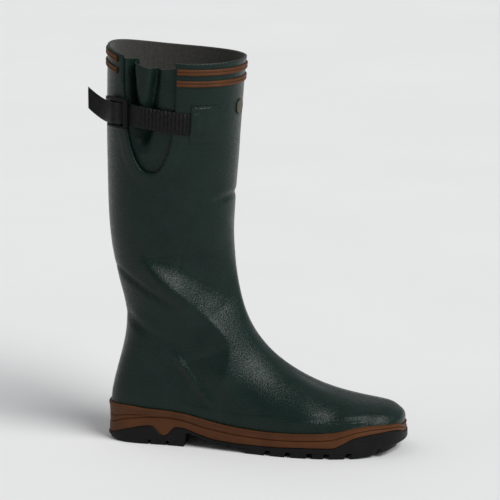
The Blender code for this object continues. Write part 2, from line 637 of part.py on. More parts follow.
class SoleOutline:
    """Outlines of the foot at stations from heel to toe, and solids made from loops of them."""

    def __init__(self):
        x = side_lines(side_line)[0]
        heel_length, toe_length, after_breast, spacing = 30.0, 64.0, 15.5, 12.0
        heel_turn = np.linspace(0, np.pi / 2, 7)
        toe_turn = np.linspace(np.pi / 2, 0, 9)
        heel = x[0] + heel_length * (1 - np.cos(heel_turn))
        toe = x[-1] - toe_length * (1 - np.cos(toe_turn))
        tongue = TONGUE_X + TONGUE_REACH * np.array([-1, -0.6, -0.3, 0, 0.3, 0.6, 1])
        beside_tongue = [38.0, 78.0]
        breast = [HEEL_LUGS[-1] - 0.5, HEEL_LUGS[-1] + 3.5]
        middle = np.arange(HEEL_LUGS[-1] + after_breast, toe[0] - spacing / 2, spacing)
        stations = np.sort(np.concatenate([heel, beside_tongue, tongue, breast, middle, toe]))
        self.shares = (stations - x[0]) / np.ptp(x)
        self.count = 2 * len(stations) - 2

    def contour(self, height, proud):
        """Points along a height line of the foot, outer side then inner, moved out by proud."""
        x, outer, inner = side_lines(height)
        stations = x[0] + self.shares * np.ptp(x)
        there = np.column_stack([stations, np.interp(stations, x, outer)])
        back = np.column_stack([stations, np.interp(stations, x, inner)])[-2:0:-1]
        points = np.concatenate([there, back])
        ahead = np.roll(points, -1, axis=0) - points
        normal = np.column_stack([ahead[:, 1], -ahead[:, 0]])
        normal /= np.linalg.norm(normal, axis=1)[:, None]
        normal = normal + np.roll(normal, 1, axis=0)
        normal /= np.linalg.norm(normal, axis=1)[:, None]
        proud = proud(points[:, 0]) if callable(proud) else proud
        return points + normal * np.broadcast_to(proud, len(points))[:, None], points[:, 0]

    def loop(self, height, proud):
        """A closed loop round the sole's side at a height line, this far outside the foot."""
        flat, x = self.contour(lambda x: np.maximum(height(x), side_line(x)), proud)
        return np.column_stack([flat, height(x)])

    def lining(self, height, proud, drop=0.0):
        """A closed loop close to the foot itself, lowered by drop."""
        flat, x = self.contour(height, proud)
        return np.column_stack([flat, height(x) - drop])

    def side(self, x, proud, inner):
        """Y of the outer or inner side at an X, moved out by proud."""
        moved = self.contour(side_line, proud)[0]
        turn = len(self.shares)
        half = np.vstack([moved[turn - 1 :], moved[:1]])[::-1] if inner else moved[:turn]
        return np.interp(x, half[:, 0], half[:, 1])

    def ladder(self, first, flip):
        """Faces that close a loop, from side to side at each station."""
        last = len(self.shares) - 1
        faces = [(0, 1, self.count - 1), (last - 1, last, last + 1)]
        faces += [(i, i + 1, self.count - i - 1, self.count - i) for i in range(1, last - 1)]
        turned = [face[::-1] for face in faces] if flip else faces
        return [tuple(first + v for v in face) for face in turned]

    def solid(self, name, loops, material):
        """A solid whose skin runs from the first loop, closed across, to the last, closed too."""
        faces = ring_faces(len(loops), self.count)
        faces += self.ladder(0, True) + self.ladder((len(loops) - 1) * self.count, False)
        return new_object(name, np.concatenate(loops), faces, material)


def make_midsole(outline, material):
    """The brown cup: a floor under the foot, and the rand round it with its grooves and lip."""
    lip, band, bottom, inside = 2.6, 2.2, 3.0, 1.6
    groove_depth, heel_depth = 1.1, 0.9
    seam = GAP / 2

    heel_share, back_share, back_fade = 0.27, 0.13, 10.0
    fade_start, fade_length = 30.0, 20.0
    full_room, least_room = 8.0, 0.2

    def heel_groove(x):
        share = heel_share + back_share * np.exp(-np.maximum(x, 0) / back_fade)
        return groove(x) + share * (rand_top(x) - groove(x))

    def heel_groove_proud(x):
        return band - heel_depth * (1 - np.clip((x - fade_start) / fade_length, 0, 1))

    def near(line, step):
        """A line beside another, drawn closer to it where the rand is low."""
        return lambda x: line(x) + step * np.clip((rand_top(x) - groove(x)) / full_room, least_room, 1)

    def half_way(x):
        return (feather(x) + rand_top(x)) / 2

    rows = (
        (shifted(split_core, seam), inside),
        (shifted(split, seam), inside),
        (shifted(split, seam), bottom),
        (near(groove, -1.0), bottom - 0.2),
        (groove, bottom - 0.2 - groove_depth),
        (near(groove, 1.0), band),
        (near(heel_groove, -0.8), band),
        (heel_groove, heel_groove_proud),
        (near(heel_groove, 0.8), band),
        (near(rand_top, -1.6), lip),
        (near(rand_top, -0.4), lip - 0.3),
        (rand_top, lip - 1.0),
    )
    loops = [outline.loop(height, proud) for height, proud in rows]
    loops.append(outline.lining(rand_top, CUP_GAP))
    loops.append(outline.lining(half_way, CUP_GAP))
    loops.append(outline.lining(feather, CUP_GAP, GAP))
    return outline.solid("midsole", loops, material)


def make_insole(outline, material):
    """The footbed, inside the wall of the upper and on the floor of the cup."""
    clear = WALL + 6 * GAP
    rows = ((0.2, 0.6), (FOOTBED - 0.8, 0.0), (FOOTBED, 0.8))
    loops = [outline.lining(shifted(feather, lift), -clear - inset) for lift, inset in rows]
    return outline.solid("insole", loops, material)


def lug(outline, start, end, inner, reach, skew):
    """One tread lug along a side: its outer edge follows the sole, its inner edge lies across by reach."""
    flush, spine = 2.9, 1.0
    x = np.linspace(start, end, max(2, int(round((end - start) / 7)) + 1))
    edge = outline.side(x, flush, inner)
    middle = (outline.side(x, 0, False) + outline.side(x, 0, True)) / 2
    toward = -1 if inner else 1
    inward = edge + toward * np.minimum(reach, np.abs(middle - edge) - spine)
    top = np.column_stack([x, edge])
    low = np.column_stack([x + skew, inward])[::-1]
    return np.concatenate([top, low])


def prism(flat):
    """Points and faces of a lug from its plan outline, standing on the ground line."""
    draft, sunk = 0.5, 1.2
    middle = flat.mean(axis=0)
    drawn = flat - middle
    foot = middle + drawn * (1 - draft / np.linalg.norm(drawn, axis=1))[:, None]
    count = len(flat)
    low = np.column_stack([foot, ground(foot[:, 0])])
    high = np.column_stack([flat, under(flat[:, 0]) + sunk])
    faces = ring_faces(2, count)
    faces += [tuple(range(count))[::-1], tuple(range(count, 2 * count))]
    return np.concatenate([low, high]), faces


def lug_spans(slots, width):
    """Start and end of each lug between neighbouring slots of a width."""
    return [(a + width / 2, b - width / 2) for a, b in zip(slots, slots[1:])]


def tread_outlines(outline):
    """Plan outlines of all the lugs: two rows down the forefoot, a middle row, and the heel's two rows."""
    heel_reach, reach, toe_reach, skew = 21.0, 27.0, 15.0, 5.0
    hexagon_long, hexagon_wide = 8.0, 9.0
    forefoot = lug_spans(FOREFOOT_LUGS, FOREFOOT_SLOT)
    shapes = []
    for inner in (False, True):
        for start, end in lug_spans(HEEL_LUGS, HEEL_SLOT):
            shapes.append(lug(outline, start, end, inner, heel_reach, 0.0))
        for start, end in forefoot[:-1]:
            shapes.append(lug(outline, start, end, inner, reach, skew))
        start, end = forefoot[-1]
        shapes.append(lug(outline, start, end, inner, toe_reach, 0.0))
    turns = np.radians(np.arange(0, 360, 60))
    for start, end in forefoot[:-2]:
        x = (start + end) / 2 + skew
        middle = (outline.side(x, 0, False) + outline.side(x, 0, True)) / 2
        sides = [x + hexagon_long * np.cos(turns), middle + hexagon_wide * np.sin(turns)]
        shapes.append(np.column_stack(sides))
    return shapes


def make_outsole(outline, material):
    """The black tread: one plate with its toe bumper and heel, and the lugs under it."""
    seam, inside, rim, side, low = -GAP / 2, 1.9, 3.3, 3.9, 3.0
    rows = (
        (under, low),
        (shifted(under, 1.0), side - 0.3),
        (lambda x: 0.5 * (under(x) + split(x)), side),
        (shifted(split, -0.9), side),
        (shifted(split, seam), rim),
        (shifted(split, seam), inside),
        (shifted(split_core, seam), inside),
    )
    loops = [outline.loop(height, proud) for height, proud in rows]
    made = outline.solid("outsole", loops, material)
    points, faces, count = [], [], 0
    for shape in tread_outlines(outline):
        more, sides = prism(shape)
        points.append(more)
        faces += [tuple(count + v for v in face) for face in sides]
        count += len(more)
    lugs = as_helper(new_object("tread_lugs", np.concatenate(points), faces, material))
    add_boolean(made, lugs, "UNION")
    return made


def clear_scene():
    for old in list(bpy.data.objects):
        bpy.data.objects.remove(old, do_unlink=True)


def hang_on_origin():
    """Parents every piece to an empty that puts the middle of the boot's footprint at the origin."""
    bpy.context.view_layer.update()
    graph = bpy.context.evaluated_depsgraph_get()
    made = [piece for piece in bpy.context.scene.objects if piece.type == "MESH"]
    corners = [
        vertex.co
        for piece in made
        if not piece.hide_render
        for vertex in piece.evaluated_get(graph).data.vertices
    ]
    corners = np.array(corners)
    middle = (corners.min(axis=0) + corners.max(axis=0)) / 2
    hook = bpy.data.objects.new("boot", None)
    hook.location = (-middle[0], -middle[1], -corners[:, 2].min())
    bpy.context.scene.collection.objects.link(hook)
    for piece in made:
        piece.parent = hook


def main():
    clear_scene()
    green = new_material("green_rubber", (0.012, 0.022, 0.018), 0.5)
    brown = new_material("brown_rubber", (0.075, 0.029, 0.014), 0.6)
    black = new_material("black_rubber", (0.011, 0.011, 0.012), 0.6)
    felt = new_material("footbed_fabric", (0.05, 0.05, 0.05), 0.9)
    webbing = new_material("black_webbing", (0.01, 0.01, 0.01), 0.8)
    plastic = new_material("black_plastic", (0.012, 0.012, 0.013), 0.35)
    olive = new_material("olive_rubber", (0.045, 0.034, 0.018), 0.55)
    outline = SoleOutline()
    make_upper(green)
    make_midsole(outline, brown)
    make_outsole(outline, black)
    make_insole(outline, felt)
    make_gusset(green)
    for name, below_rim in BANDS.items():
        make_band(name, below_rim, brown)
    new_loft("strap", strap_sections(), webbing)
    make_strap_tab(green)
    make_buckle(plastic)
    make_buckle_loop(webbing)
    make_disc(olive)
    hang_on_origin()


main()
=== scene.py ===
"""The looks of a knee-high rubber boot for the right foot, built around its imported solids.

Shapes are in millimetres in the frame of the last, as in the part: X runs forward from the back of the
heel, the outer side is at -Y, and the floor is at Z = 0. HOME moves them to the frame's metres.
"""

from collections import namedtuple
from contextlib import contextmanager

import bmesh
import bpy
import numpy as np
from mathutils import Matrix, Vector


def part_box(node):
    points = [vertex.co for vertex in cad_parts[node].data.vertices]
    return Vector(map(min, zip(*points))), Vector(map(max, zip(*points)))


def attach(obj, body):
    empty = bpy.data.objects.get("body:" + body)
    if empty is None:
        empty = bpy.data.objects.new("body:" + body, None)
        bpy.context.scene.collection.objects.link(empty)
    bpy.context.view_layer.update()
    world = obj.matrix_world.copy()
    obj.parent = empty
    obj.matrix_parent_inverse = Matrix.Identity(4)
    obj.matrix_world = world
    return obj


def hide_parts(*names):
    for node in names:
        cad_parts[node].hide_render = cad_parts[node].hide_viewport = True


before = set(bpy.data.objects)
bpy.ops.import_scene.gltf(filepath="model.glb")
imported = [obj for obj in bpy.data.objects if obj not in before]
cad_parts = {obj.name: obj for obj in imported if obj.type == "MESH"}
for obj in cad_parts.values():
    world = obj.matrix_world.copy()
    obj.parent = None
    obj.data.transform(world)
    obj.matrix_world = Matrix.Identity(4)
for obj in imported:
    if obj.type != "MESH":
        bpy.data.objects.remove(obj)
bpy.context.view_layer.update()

MM = 0.001
TINY = 1e-9  # keeps a divisor above zero
LOOKS = "_looks"  # added to a slot's name for the material that is made for it here
WALL = 2.4  # thickness of the upper
GAP = 0.3  # between neighbouring pieces

# Sections of the upper from the toe to the collar: the back (or bottom) and front (or top) points of
# the plane of each, its ridge, its half-widths, where it is widest, and the powers of its two curves.
Section = namedtuple(
    "Section", "name back_x back_z front_x front_z ridge outer inner widest back_power front_power"
)
UPPER = [Section(*row) for row in (
    ("toe tip", 301.8, 29.4, 301.8, 29.4, 5, 0, 0, 0.45, 2.4, 2.2),
    ("toe 1", 300.6, 20.5, 300.6, 38, 5, 11.5, 10, 0.45, 2.4, 2.5),
    ("toe 2", 297, 12.5, 297, 41.6, 5, 22, 18.5, 0.44, 2.5, 2.5),
    ("toe 3", 290.5, 7, 290.5, 45.7, 4.9, 31.5, 26, 0.43, 2.6, 2.5),
    ("toe 4", 279.5, 3.5, 279.5, 48.3, 4.7, 39.5, 33, 0.42, 2.8, 2.5),
    ("toe box", 262, 1.5, 262, 50.6, 4.3, 47, 39.5, 0.42, 3, 2.45),
    ("ball front", 238, 0.5, 239, 55.8, 3.8, 52.5, 44, 0.42, 3, 2.1),
    ("ball", 210, 1, 213, 64.3, 3.2, 54.5, 45.5, 0.42, 3, 2),
    ("vamp", 180, 2.5, 190, 76.4, 3.5, 54, 42.5, 0.40, 3, 1.9),
    ("waist", 147, 5, 168.4, 92.4, 3.5, 50.5, 39, 0.40, 3, 1.85),
    ("instep", 112, 8.5, 151.8, 111.4, 2.5, 45.5, 38, 0.42, 3.1, 1.85),
    ("seat", 74, 12, 141.5, 130.5, 1.3, 41, 38, 0.44, 3.2, 1.9),
    ("heel", 36, 14, 135.5, 149, 0.5, 39, 38, 0.45, 3.2, 1.95),
    ("heel corner", 9, 16.5, 131.8, 166.5, 0.1, 38, 37.5, 0.45, 3, 2),
    ("heel back", 0.9, 32, 129.4, 182, 0, 37.6, 37.4, 0.45, 2.8, 2.05),
    ("counter", 2.2, 54, 127.9, 197, 0, 38.2, 38.2, 0.46, 2.6, 2.1),
    ("ankle low", 9, 80, 127, 212, 0, 39.2, 39.2, 0.46, 2.5, 2.1),
    ("ankle", 16, 108, 126.8, 227, 0, 40.8, 40.8, 0.47, 2.4, 2.15),
    ("ankle high", 17.4, 136, 127.6, 242, 0, 43, 43, 0.47, 2.3, 2.15),
    ("calf 1", 10.4, 165, 128.5, 258, 0, 45.6, 45.6, 0.48, 2.3, 2.15),
    ("calf 2", 3.2, 196, 129.9, 276, 0, 48.2, 48.2, 0.48, 2.25, 2.15),
    ("calf 3", -0.4, 232, 131.6, 297, 0, 51, 51, 0.49, 2.25, 2.15),
    ("calf 4", -1.4, 275, 133.2, 322, 0, 53.6, 53.6, 0.49, 2.2, 2.15),
    ("calf 5", -1.6, 322, 135.4, 352, 0, 56.2, 56.2, 0.5, 2.2, 2.15),
    ("calf 6", -0.8, 362, 137.3, 375.5, 0, 57.7, 57.7, 0.5, 2.2, 2.15),
    ("collar", 0.2, 396, 139.4, 396, 0, 58.8, 58.8, 0.5, 2.2, 2.15),
)]
RIM = UPPER[-1].front_z
COLLAR_RISE, RISE_POWER = 12.0, 6

# X along the sole, and heights there: ground, underside of the black plate, edge between black and
# brown, side groove, top of the rand, and feather line where the upper ends.
SOLE = (
    (0, 2.2, 4, 6.6, 17.5, 38.6, 28.5),
    (22, 0, 4.5, 14.2, 24.7, 39.4, 28.2),
    (45, 0, 4.5, 19.4, 28, 37.6, 27),
    (64, 0, 4.5, 19.8, 29, 36.7, 25.8),
    (83.8, 0, 4.5, 19.2, 26.8, 34.7, 24.3),
    (85, 0, 15, 18.8, 26.5, 34.5, 24.1),
    (104, 0, 9.8, 12.9, 21.8, 30.6, 21.4),
    (118, 0, 7.6, 10.3, 19.8, 27.9, 19.6),
    (144, 0, 6, 9.1, 17.5, 25, 16.6),
    (172, 0, 5.4, 9.4, 16.6, 24, 14.4),
    (209, 0, 5.4, 10.8, 17.5, 25, 13.6),
    (238, 0, 5.4, 11.3, 19.6, 26.9, 13.8),
    (248, 0.3, 5.7, 15.6, 22.7, 28.7, 14.3),
    (260, 0.9, 6.4, 21.7, 26.6, 31.4, 15.1),
    (282, 4, 9.4, 25.3, 29.2, 33.3, 17),
    (292, 6.6, 10.9, 26, 29, 32.5, 18.2),
    (298.5, 8.1, 11.5, 24, 27.6, 30.9, 19.1),
    (302, 9, 11.7, 19.6, 23, 27, 19.5),
)
TONGUE_X, TONGUE_REACH, TONGUE_DROP = 61.5, 13.0, 10.0
TOE_GIRTH = 25.0
CORE_STEP = 0.6
FLOOR_LEFT = 2.8
HEEL_LUGS = (1.0, 46.5, 65.3, 84.6)
FOREFOOT_LUGS = (145.0, 173.0, 194.0, 216.0, 233.0, 254.7, 283.0, 302.5)
HEEL_SLOT, FOREFOOT_SLOT, LUG_LEAN = 3.0, 5.0, 2.2
BUMPER_SPLIT = 283.0  # X of the upright slot in the toe bumper
TOE_RIBS = (243.0, 277.0)  # X where the fine ribs on the flare of the toe start and end
LUG_BEVEL = ((0.35, 0.7), (0.55, 0.25), (1.0, 0.0))  # inset, and height above the ground
GROOVE_PROFILE = (  # height from the middle of a side groove, and depth there
    (-1.5, 0.0), (-1.0, 0.12), (-0.6, 0.75), (-0.2, 1.15),
    (0.2, 1.15), (0.6, 0.75), (1.0, 0.15), (1.5, 0.0),
)

# The cut-out, and the panel folded behind it
OPENING_X, OPENING_FOOT, OPENING_HALF, OPENING_TALL, OPENING_POWER = 53.2, 285.0, 28.3, 105.0, 2.3
Fold = namedtuple("Fold", "depth spread heights angles")
FOLDS = (
    Fold(14.0, 3.5, (285, 304, 328, 362, 394), (74.0, 73.0, 68.5, 60.8, 58.8)),
    Fold(8.5, 3.2, (285, 304, 334, 394), (74.0, 74.0, 78.0, 83.8)),
)
FOLDS_FOOT = 303.0
GUSSET_ANGLES = (36.0, 112.0)
GUSSET_FOOT, GUSSET_BELOW_RIM, GUSSET_THICK = 272.0, 3.0, 1.2
GUSSET_DIP, DIP_ANGLE, DIP_SPREAD = 5.0, 82.0, 20.0

BANDS = {"collar_band_upper": 8.6, "collar_band_lower": 20.1}
BAND_LIFT, LIFT_POWER, BAND_ANGLES = 3.5, 4, (100.2, 405.0)
BAND_HEIGHT, BAND_EDGE, BAND_RIB, BAND_SEAT = 6.2, 0.75, 0.85, 0.1

STRAP_WIDTH, STRAP_THICK = 22.0, 1.6
STRAP_HEIGHT, STRAP_SLOPE = 344.0, 0.175
STRAP_END, TAB_END = 112.0, 140.0
STRAP_ROUTE = ((STRAP_END, 0.5), (57.8, 0.5), (52.8, 3.6), (48.0, 3.8), (43.6, 4.9), (35.0, 4.9))
BUCKLE_END = STRAP_ROUTE[-1][0]
TAIL_LENGTH, TAIL_RISE, TAIL_CURL = 24.5, 11.0, 50.0
RIB_PITCH, RIB_DEPTH = 3.8, 1.1
TAB_HALF = 19.0
Bar = namedtuple("Bar", "start end low high")
BARS = (Bar(58.0, 62.0, 2.6, 5.0), Bar(48.5, 52.5, 0.7, 3.2), Bar(36.5, 41.2, 1.8, 3.2))
RAIL = Bar(35.0, 62.0, 0.7, 5.0)
RAIL_INSIDE, RAIL_OUTSIDE = 12.0, 15.5
DISC_ANGLE, DISC_HEIGHT = 173.0, 348.0
DISC_PROFILE = (  # radius, and height above the shaft
    (0.0, 0.4), (8.0, 0.4), (8.0, 0.9), (7.8, 1.25), (7.4, 1.45), (6.9, 1.35), (6.5, 1.1), (6.0, 1.05),
    (4.0, 1.2), (2.0, 1.3), (0.0, 1.33),
)

# Creases of the rubber, as lines in the side view. A fold is a crest with a flank of a width and a
# steepness above it, a trough is a dent, a ridge stands out, and a step is raised below its line.
Crease = namedtuple("Crease", "form side width depth line")
CREASES = [Crease(*row) for row in (
    ("fold", "outer", 18.5, 0.98,
     ((40, 203), (48, 191.5), (58, 180), (74, 165), (88, 151.5), (106, 134),
      (120, 118), (128, 104), (129, 91), (127, 77), (122, 62), (114, 46))),
    ("trough", "outer", 2.2, 2.2, ((6, 183.5), (14, 180), (41.6, 167), (66, 153), (76, 147))),
    ("trough", "outer", 4.5, 2.0, ((18, 138), (30, 130), (50, 116.5), (74, 99.5))),
    ("ridge", "outer", 3.0, 3.2, ((70, 104), (79, 92), (90, 77), (102, 61.5), (112, 50), (122, 39))),
    ("ridge", "outer", 18.0, 2.6, ((220, 30), (215, 48), (207, 68), (197, 88))),
    ("trough", "outer", 2.4, 0.9, ((87, 212), (84, 203), (80, 187), (77, 172))),
    ("trough", "outer", 3.2, 0.4, ((104, 131), (110, 136), (119, 143), (129, 151))),
    ("trough", "both", 3.4, 1.6, ((112, 253), (122, 257), (132, 260))),
    ("fold", "inner", 12.0, 0.6, ((44, 190), (60, 175), (82, 156), (104, 136), (122, 118))),
    ("trough", "inner", 3.0, 1.3, ((10, 172), (30, 163), (58, 148))),
    ("trough", "inner", 5.0, 1.2, ((18, 134), (34, 126), (56, 112))),
)]
STEPS = [Crease(*row) for row in (
    ("step", "both", 2.0, 0.4, ((70, 48.5), (84, 46), (132, 40), (170, 41), (206, 44), (226, 46))),
    ("ridge", "both", 2.2, 1.3, ((190, 36.5), (211, 35.2), (237, 35), (260, 36.2), (276, 38.4))),
    ("trough", "both", 1.5, 0.5, ((230, 37.6), (249, 37.8), (260, 37.9), (278, 39.2))),
    ("ridge", "both", 3.5, 1.2,
     ((236, 41.5), (248, 40.7), (260, 41.7), (272, 41.9), (284, 40.6), (296, 38))),
    ("ridge", "both", 6.0, 1.6, ((270, 34), (290, 33.5), (322, 32))),
)]
CREASE_ENDS, FOLD_ENDS = (0.25, 0.25), (0.08, 0.2)  # shares of a line over which its ends fade
FOLD_EASING = ((0.25, 0.25, 0.25), (0.38, 0.48, 0.2))  # how much gentler, from and over which share
HEM_STEPS = ((4.5, 0.6), (10.5, 0.6))  # thicker rubber round the cut-out: reach and height


def natural_spline(knots, values):
    """A smooth function through the values (one row per knot), with no bend at its ends."""
    knots = np.asarray(knots, float)
    values = np.asarray(values, float)
    count = len(knots)
    step = np.diff(knots)
    slope = np.diff(values, axis=0) / step[:, None]
    system = np.eye(count)
    right = np.zeros_like(values)
    for i in range(1, count - 1):
        system[i, i - 1 : i + 2] = step[i - 1], 2 * (step[i - 1] + step[i]), step[i]
        right[i] = 6 * (slope[i] - slope[i - 1])
    bend = np.linalg.solve(system, right)

    def at(place):
        place = np.atleast_1d(place)
        i = np.clip(np.searchsorted(knots, place) - 1, 0, count - 2)
        width = step[i][:, None]
        after = (place - knots[i])[:, None] / width
        before = 1 - after
        curve = (before**3 - before) * bend[i] + (after**3 - after) * bend[i + 1]
        return before * values[i] + after * values[i + 1] + curve * width**2 / 6

    return at


def monotone(places, values):
    """A smooth function through the values that never passes above or below its neighbours."""
    places = np.asarray(places, float)
    values = np.asarray(values, float)
    step = np.diff(places)
    slope = np.diff(values) / step
    lean = np.zeros(len(places))
    for i in range(1, len(places) - 1):
        if slope[i - 1] * slope[i] > 0:
            near, far = 2 * step[i] + step[i - 1], step[i] + 2 * step[i - 1]
            lean[i] = (near + far) / (near / slope[i - 1] + far / slope[i])

    def at(place):
        place = np.clip(place, places[0], places[-1])
        i = np.clip(np.searchsorted(places, place) - 1, 0, len(step) - 1)
        t = (place - places[i]) / step[i]
        rise = t * t * (3 - 2 * t)
        bulge = t * (1 - t) * ((1 - t) * lean[i] - t * lean[i + 1]) * step[i]
        return values[i] + rise * (values[i + 1] - values[i]) + bulge

    return at


def smooth(value):
    """A soft ramp from 0 to 1."""
    value = np.clip(value, 0, 1)
    return value * value * (3 - 2 * value)


def bell(away, width):
    """A soft hump: 1 in the middle, and little beyond a width."""
    return np.exp(-((away / width) ** 2))


def unit(vectors):
    """The same directions with a length of one."""
    return vectors / np.maximum(np.linalg.norm(vectors, axis=-1, keepdims=True), TINY)


def section_knots():
    """Distance of each section from the toe: the mean of its back's and its front's."""
    moves = np.diff([row[1:5] for row in UPPER], axis=0)
    lengths = np.hypot(moves[:, ::2], moves[:, 1::2]).sum(axis=1)
    return np.concatenate([[0], np.cumsum(lengths / 2)])


KNOTS = section_knots()
PLACE = {row.name: knot for row, knot in zip(UPPER, KNOTS)}
section_values = natural_spline(KNOTS, [row[1:] for row in UPPER])
Shape = namedtuple("Shape", Section._fields[1:])
SOLE_X, *SOLE_HEIGHTS = zip(*SOLE)
ground, under, plain_split, groove, rand_top, feather = (monotone(SOLE_X, row) for row in SOLE_HEIGHTS)


def split(x):
    """The edge between black and brown, with the brown tongue that dips over the heel."""
    away = np.clip(np.abs(x - TONGUE_X) / TONGUE_REACH, 0, 1)
    return plain_split(x) - TONGUE_DROP * (1 - away**2) ** 2


def split_core(x):
    """The same seam inside the sole, kept clear under the foot."""
    return np.minimum(split(x) - CORE_STEP, feather(x) - FLOOR_LEFT)


def collar_rise(place, angle):
    """How much the top of the shaft is drawn up, most at the back of the collar."""
    share = (place - PLACE["calf 5"]) / (PLACE["collar"] - PLACE["calf 5"])
    return COLLAR_RISE * smooth(share) * np.cos(angle / 2) ** RISE_POWER


def upper_point(place, angle):
    """Points of the upper's outside: angle 0 is the back or bottom, 90 the outer side."""
    shape = Shape(*section_values(place).T)
    angle = np.radians(np.broadcast_to(angle, len(shape.back_x)))
    behind = np.cos(angle) > 0
    power = 2 / np.where(behind, shape.back_power, shape.front_power)
    along = np.abs(np.cos(angle)) ** power
    across = np.abs(np.sin(angle)) ** power
    share = np.where(behind, shape.widest * (1 - along), shape.widest + (1 - shape.widest) * along)
    x = shape.back_x + share * (shape.front_x - shape.back_x)
    y = shape.ridge + np.where(np.sin(angle) > 0, -shape.outer, shape.inner) * across
    z = shape.back_z + share * (shape.front_z - shape.back_z)
    return np.stack([x, y, z + collar_rise(place, angle)], axis=1)


def over_line(place, angle, height):
    """How far points of the upper's outside are over a height line."""
    x, _, z = upper_point(place, angle).T
    return z - height(x)


def bisect(function, low, high, turns=40):
    """Where a rising function passes zero, for arrays of brackets."""
    low = np.array(low, float)
    high = np.array(high, float)
    for _ in range(turns):
        middle = (low + high) / 2
        over = function(middle) > 0
        high = np.where(over, middle, high)
        low = np.where(over, low, middle)
    return (low + high) / 2


def on_shaft(angle, height, proud):
    """Points at angles and heights of the shaft, moved out of its surface by proud."""
    angle, height, proud = np.broadcast_arrays(angle, height, proud)
    flat = angle.ravel().astype(float)
    tall = height.ravel()
    low, high = np.full_like(flat, PLACE["ankle high"]), np.full_like(flat, PLACE["collar"])
    place = bisect(lambda place: upper_point(place, flat)[:, 2] - tall, low, high)
    nudge = 0.5
    along = upper_point(place + nudge, flat) - upper_point(place - nudge, flat)
    round_it = upper_point(place, flat + nudge) - upper_point(place, flat - nudge)
    points = upper_point(place, flat) + unit(np.cross(round_it, along)) * proud.ravel()[:, None]
    return points.reshape(*angle.shape, 3)


def rim_height(angle):
    """Height of the collar's rim at an angle round the shaft."""
    return RIM + collar_rise(PLACE["collar"], np.radians(angle))


def band_height(angle):
    """The line of the collar's bands: the rim, drawn up a little more at the back."""
    return rim_height(angle) + BAND_LIFT * np.cos(np.radians(angle) / 2) ** LIFT_POWER


def strap_height(angle):
    """The strap's middle line: level at the buckle, then falling towards the front."""
    return STRAP_HEIGHT - STRAP_SLOPE * np.maximum(angle - BARS[0].end, 0)


def side_lines(height, count=400):
    """X, outer Y and inner Y of the upper along a height line, from heel to toe."""
    toe = bisect(lambda place: -over_line(place, 0, height), [PLACE["toe tip"]], [PLACE["toe 3"]])
    heel = bisect(lambda place: over_line(place, 0, height), [PLACE["heel"]], [PLACE["counter"]])
    place = heel + (toe - heel) * (1 - np.cos(np.linspace(0, np.pi, count))) / 2
    angle = bisect(lambda angle: over_line(place, angle, height), np.zeros(count), np.full(count, 180.0))
    x, outer, _ = upper_point(place, angle).T
    return x, outer, upper_point(place, 360 - angle)[:, 1]


# Pieces and their meshes

UPPER_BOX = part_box("upper")
HOME = np.array([UPPER_BOX[1].x / MM - UPPER[0].back_x, UPPER_BOX[1].y / MM - UPPER[-1].inner, 0.0])


@contextmanager
def edited(mesh):
    """A mesh opened for editing, and written back afterwards."""
    opened = bmesh.new()
    opened.from_mesh(mesh)
    yield opened
    opened.to_mesh(mesh)
    opened.free()


def link(name, data):
    """A new object in the scene."""
    made = bpy.data.objects.new(name, data)
    bpy.context.scene.collection.objects.link(made)
    return made


def new_piece(name, points, faces, materials, node=None, weld=1e-6, sharp=40):
    """A mesh that rides on the boot and may stand for a node."""
    mesh = bpy.data.meshes.new(name)
    mesh.from_pydata(((np.asarray(points) + HOME) * MM).tolist(), [], faces)
    with edited(mesh) as opened:
        bmesh.ops.remove_doubles(opened, verts=opened.verts, dist=weld)
    for material in materials:
        mesh.materials.append(material)
    mesh.shade_smooth()
    mesh.set_sharp_from_angle(angle=np.radians(sharp))
    made = link(name, mesh)
    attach(made, "root")
    if node:
        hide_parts(node)
    return made


def closed_piece(name, points_and_faces, material, node=None, **options):
    """A piece of one material from a closed mesh, whose faces are turned outwards."""
    made = new_piece(name, *points_and_faces, [material], node, **options)
    with edited(made.data) as opened:
        bmesh.ops.recalc_face_normals(opened, faces=opened.faces)


def grid_faces(rows, columns):
    """Quads between neighbouring rows of a grid of points."""
    first = (np.arange(rows - 1)[:, None] * columns + np.arange(columns - 1)).ravel()
    return np.column_stack([first, first + 1, first + columns + 1, first + columns]).tolist()


def ring_faces(rings, count):
    """Quads between neighbouring closed rings of points."""
    here = np.arange(count)
    ahead = (here + 1) % count
    faces = [np.column_stack([i + here, i + ahead, i + count + ahead, i + count + here])
             for i in np.arange(rings - 1) * count]
    return np.concatenate(faces).tolist()


def slab_mesh(outside, inside):
    """Points and faces of a closed sheet between two grids of points."""
    rows, columns = outside.shape[:2]
    count = rows * columns
    faces = grid_faces(rows, columns)
    faces += [[count + v for v in face[::-1]] for face in faces]
    index = np.arange(count).reshape(rows, columns)
    edge = [*index[0], *index[1:, -1], *index[-1, -2::-1], *index[-2:0:-1, 0]]
    for a, b in zip(edge, edge[1:] + edge[:1]):
        faces.append([b, a, count + a, count + b])
    return np.concatenate([outside.reshape(-1, 3), inside.reshape(-1, 3)]), faces


def loft_mesh(sections):
    """Points and faces of a bar through closed sections of equal count, with flat ends."""
    count = len(sections[0])
    faces = ring_faces(len(sections), count)
    first = (len(sections) - 1) * count
    faces += [list(range(count))[::-1], list(range(first, first + count))]
    return np.concatenate(sections), faces


def joined(meshes):
    """Points and faces of several meshes in one."""
    points, faces, count = [], [], 0
    for more, around in meshes:
        points.append(more)
        faces += [[count + v for v in face] for face in around]
        count += len(more)
    return np.concatenate(points), faces


# Materials

WAVE_LENGTH = 0.314  # of a wave texture at a scale of one


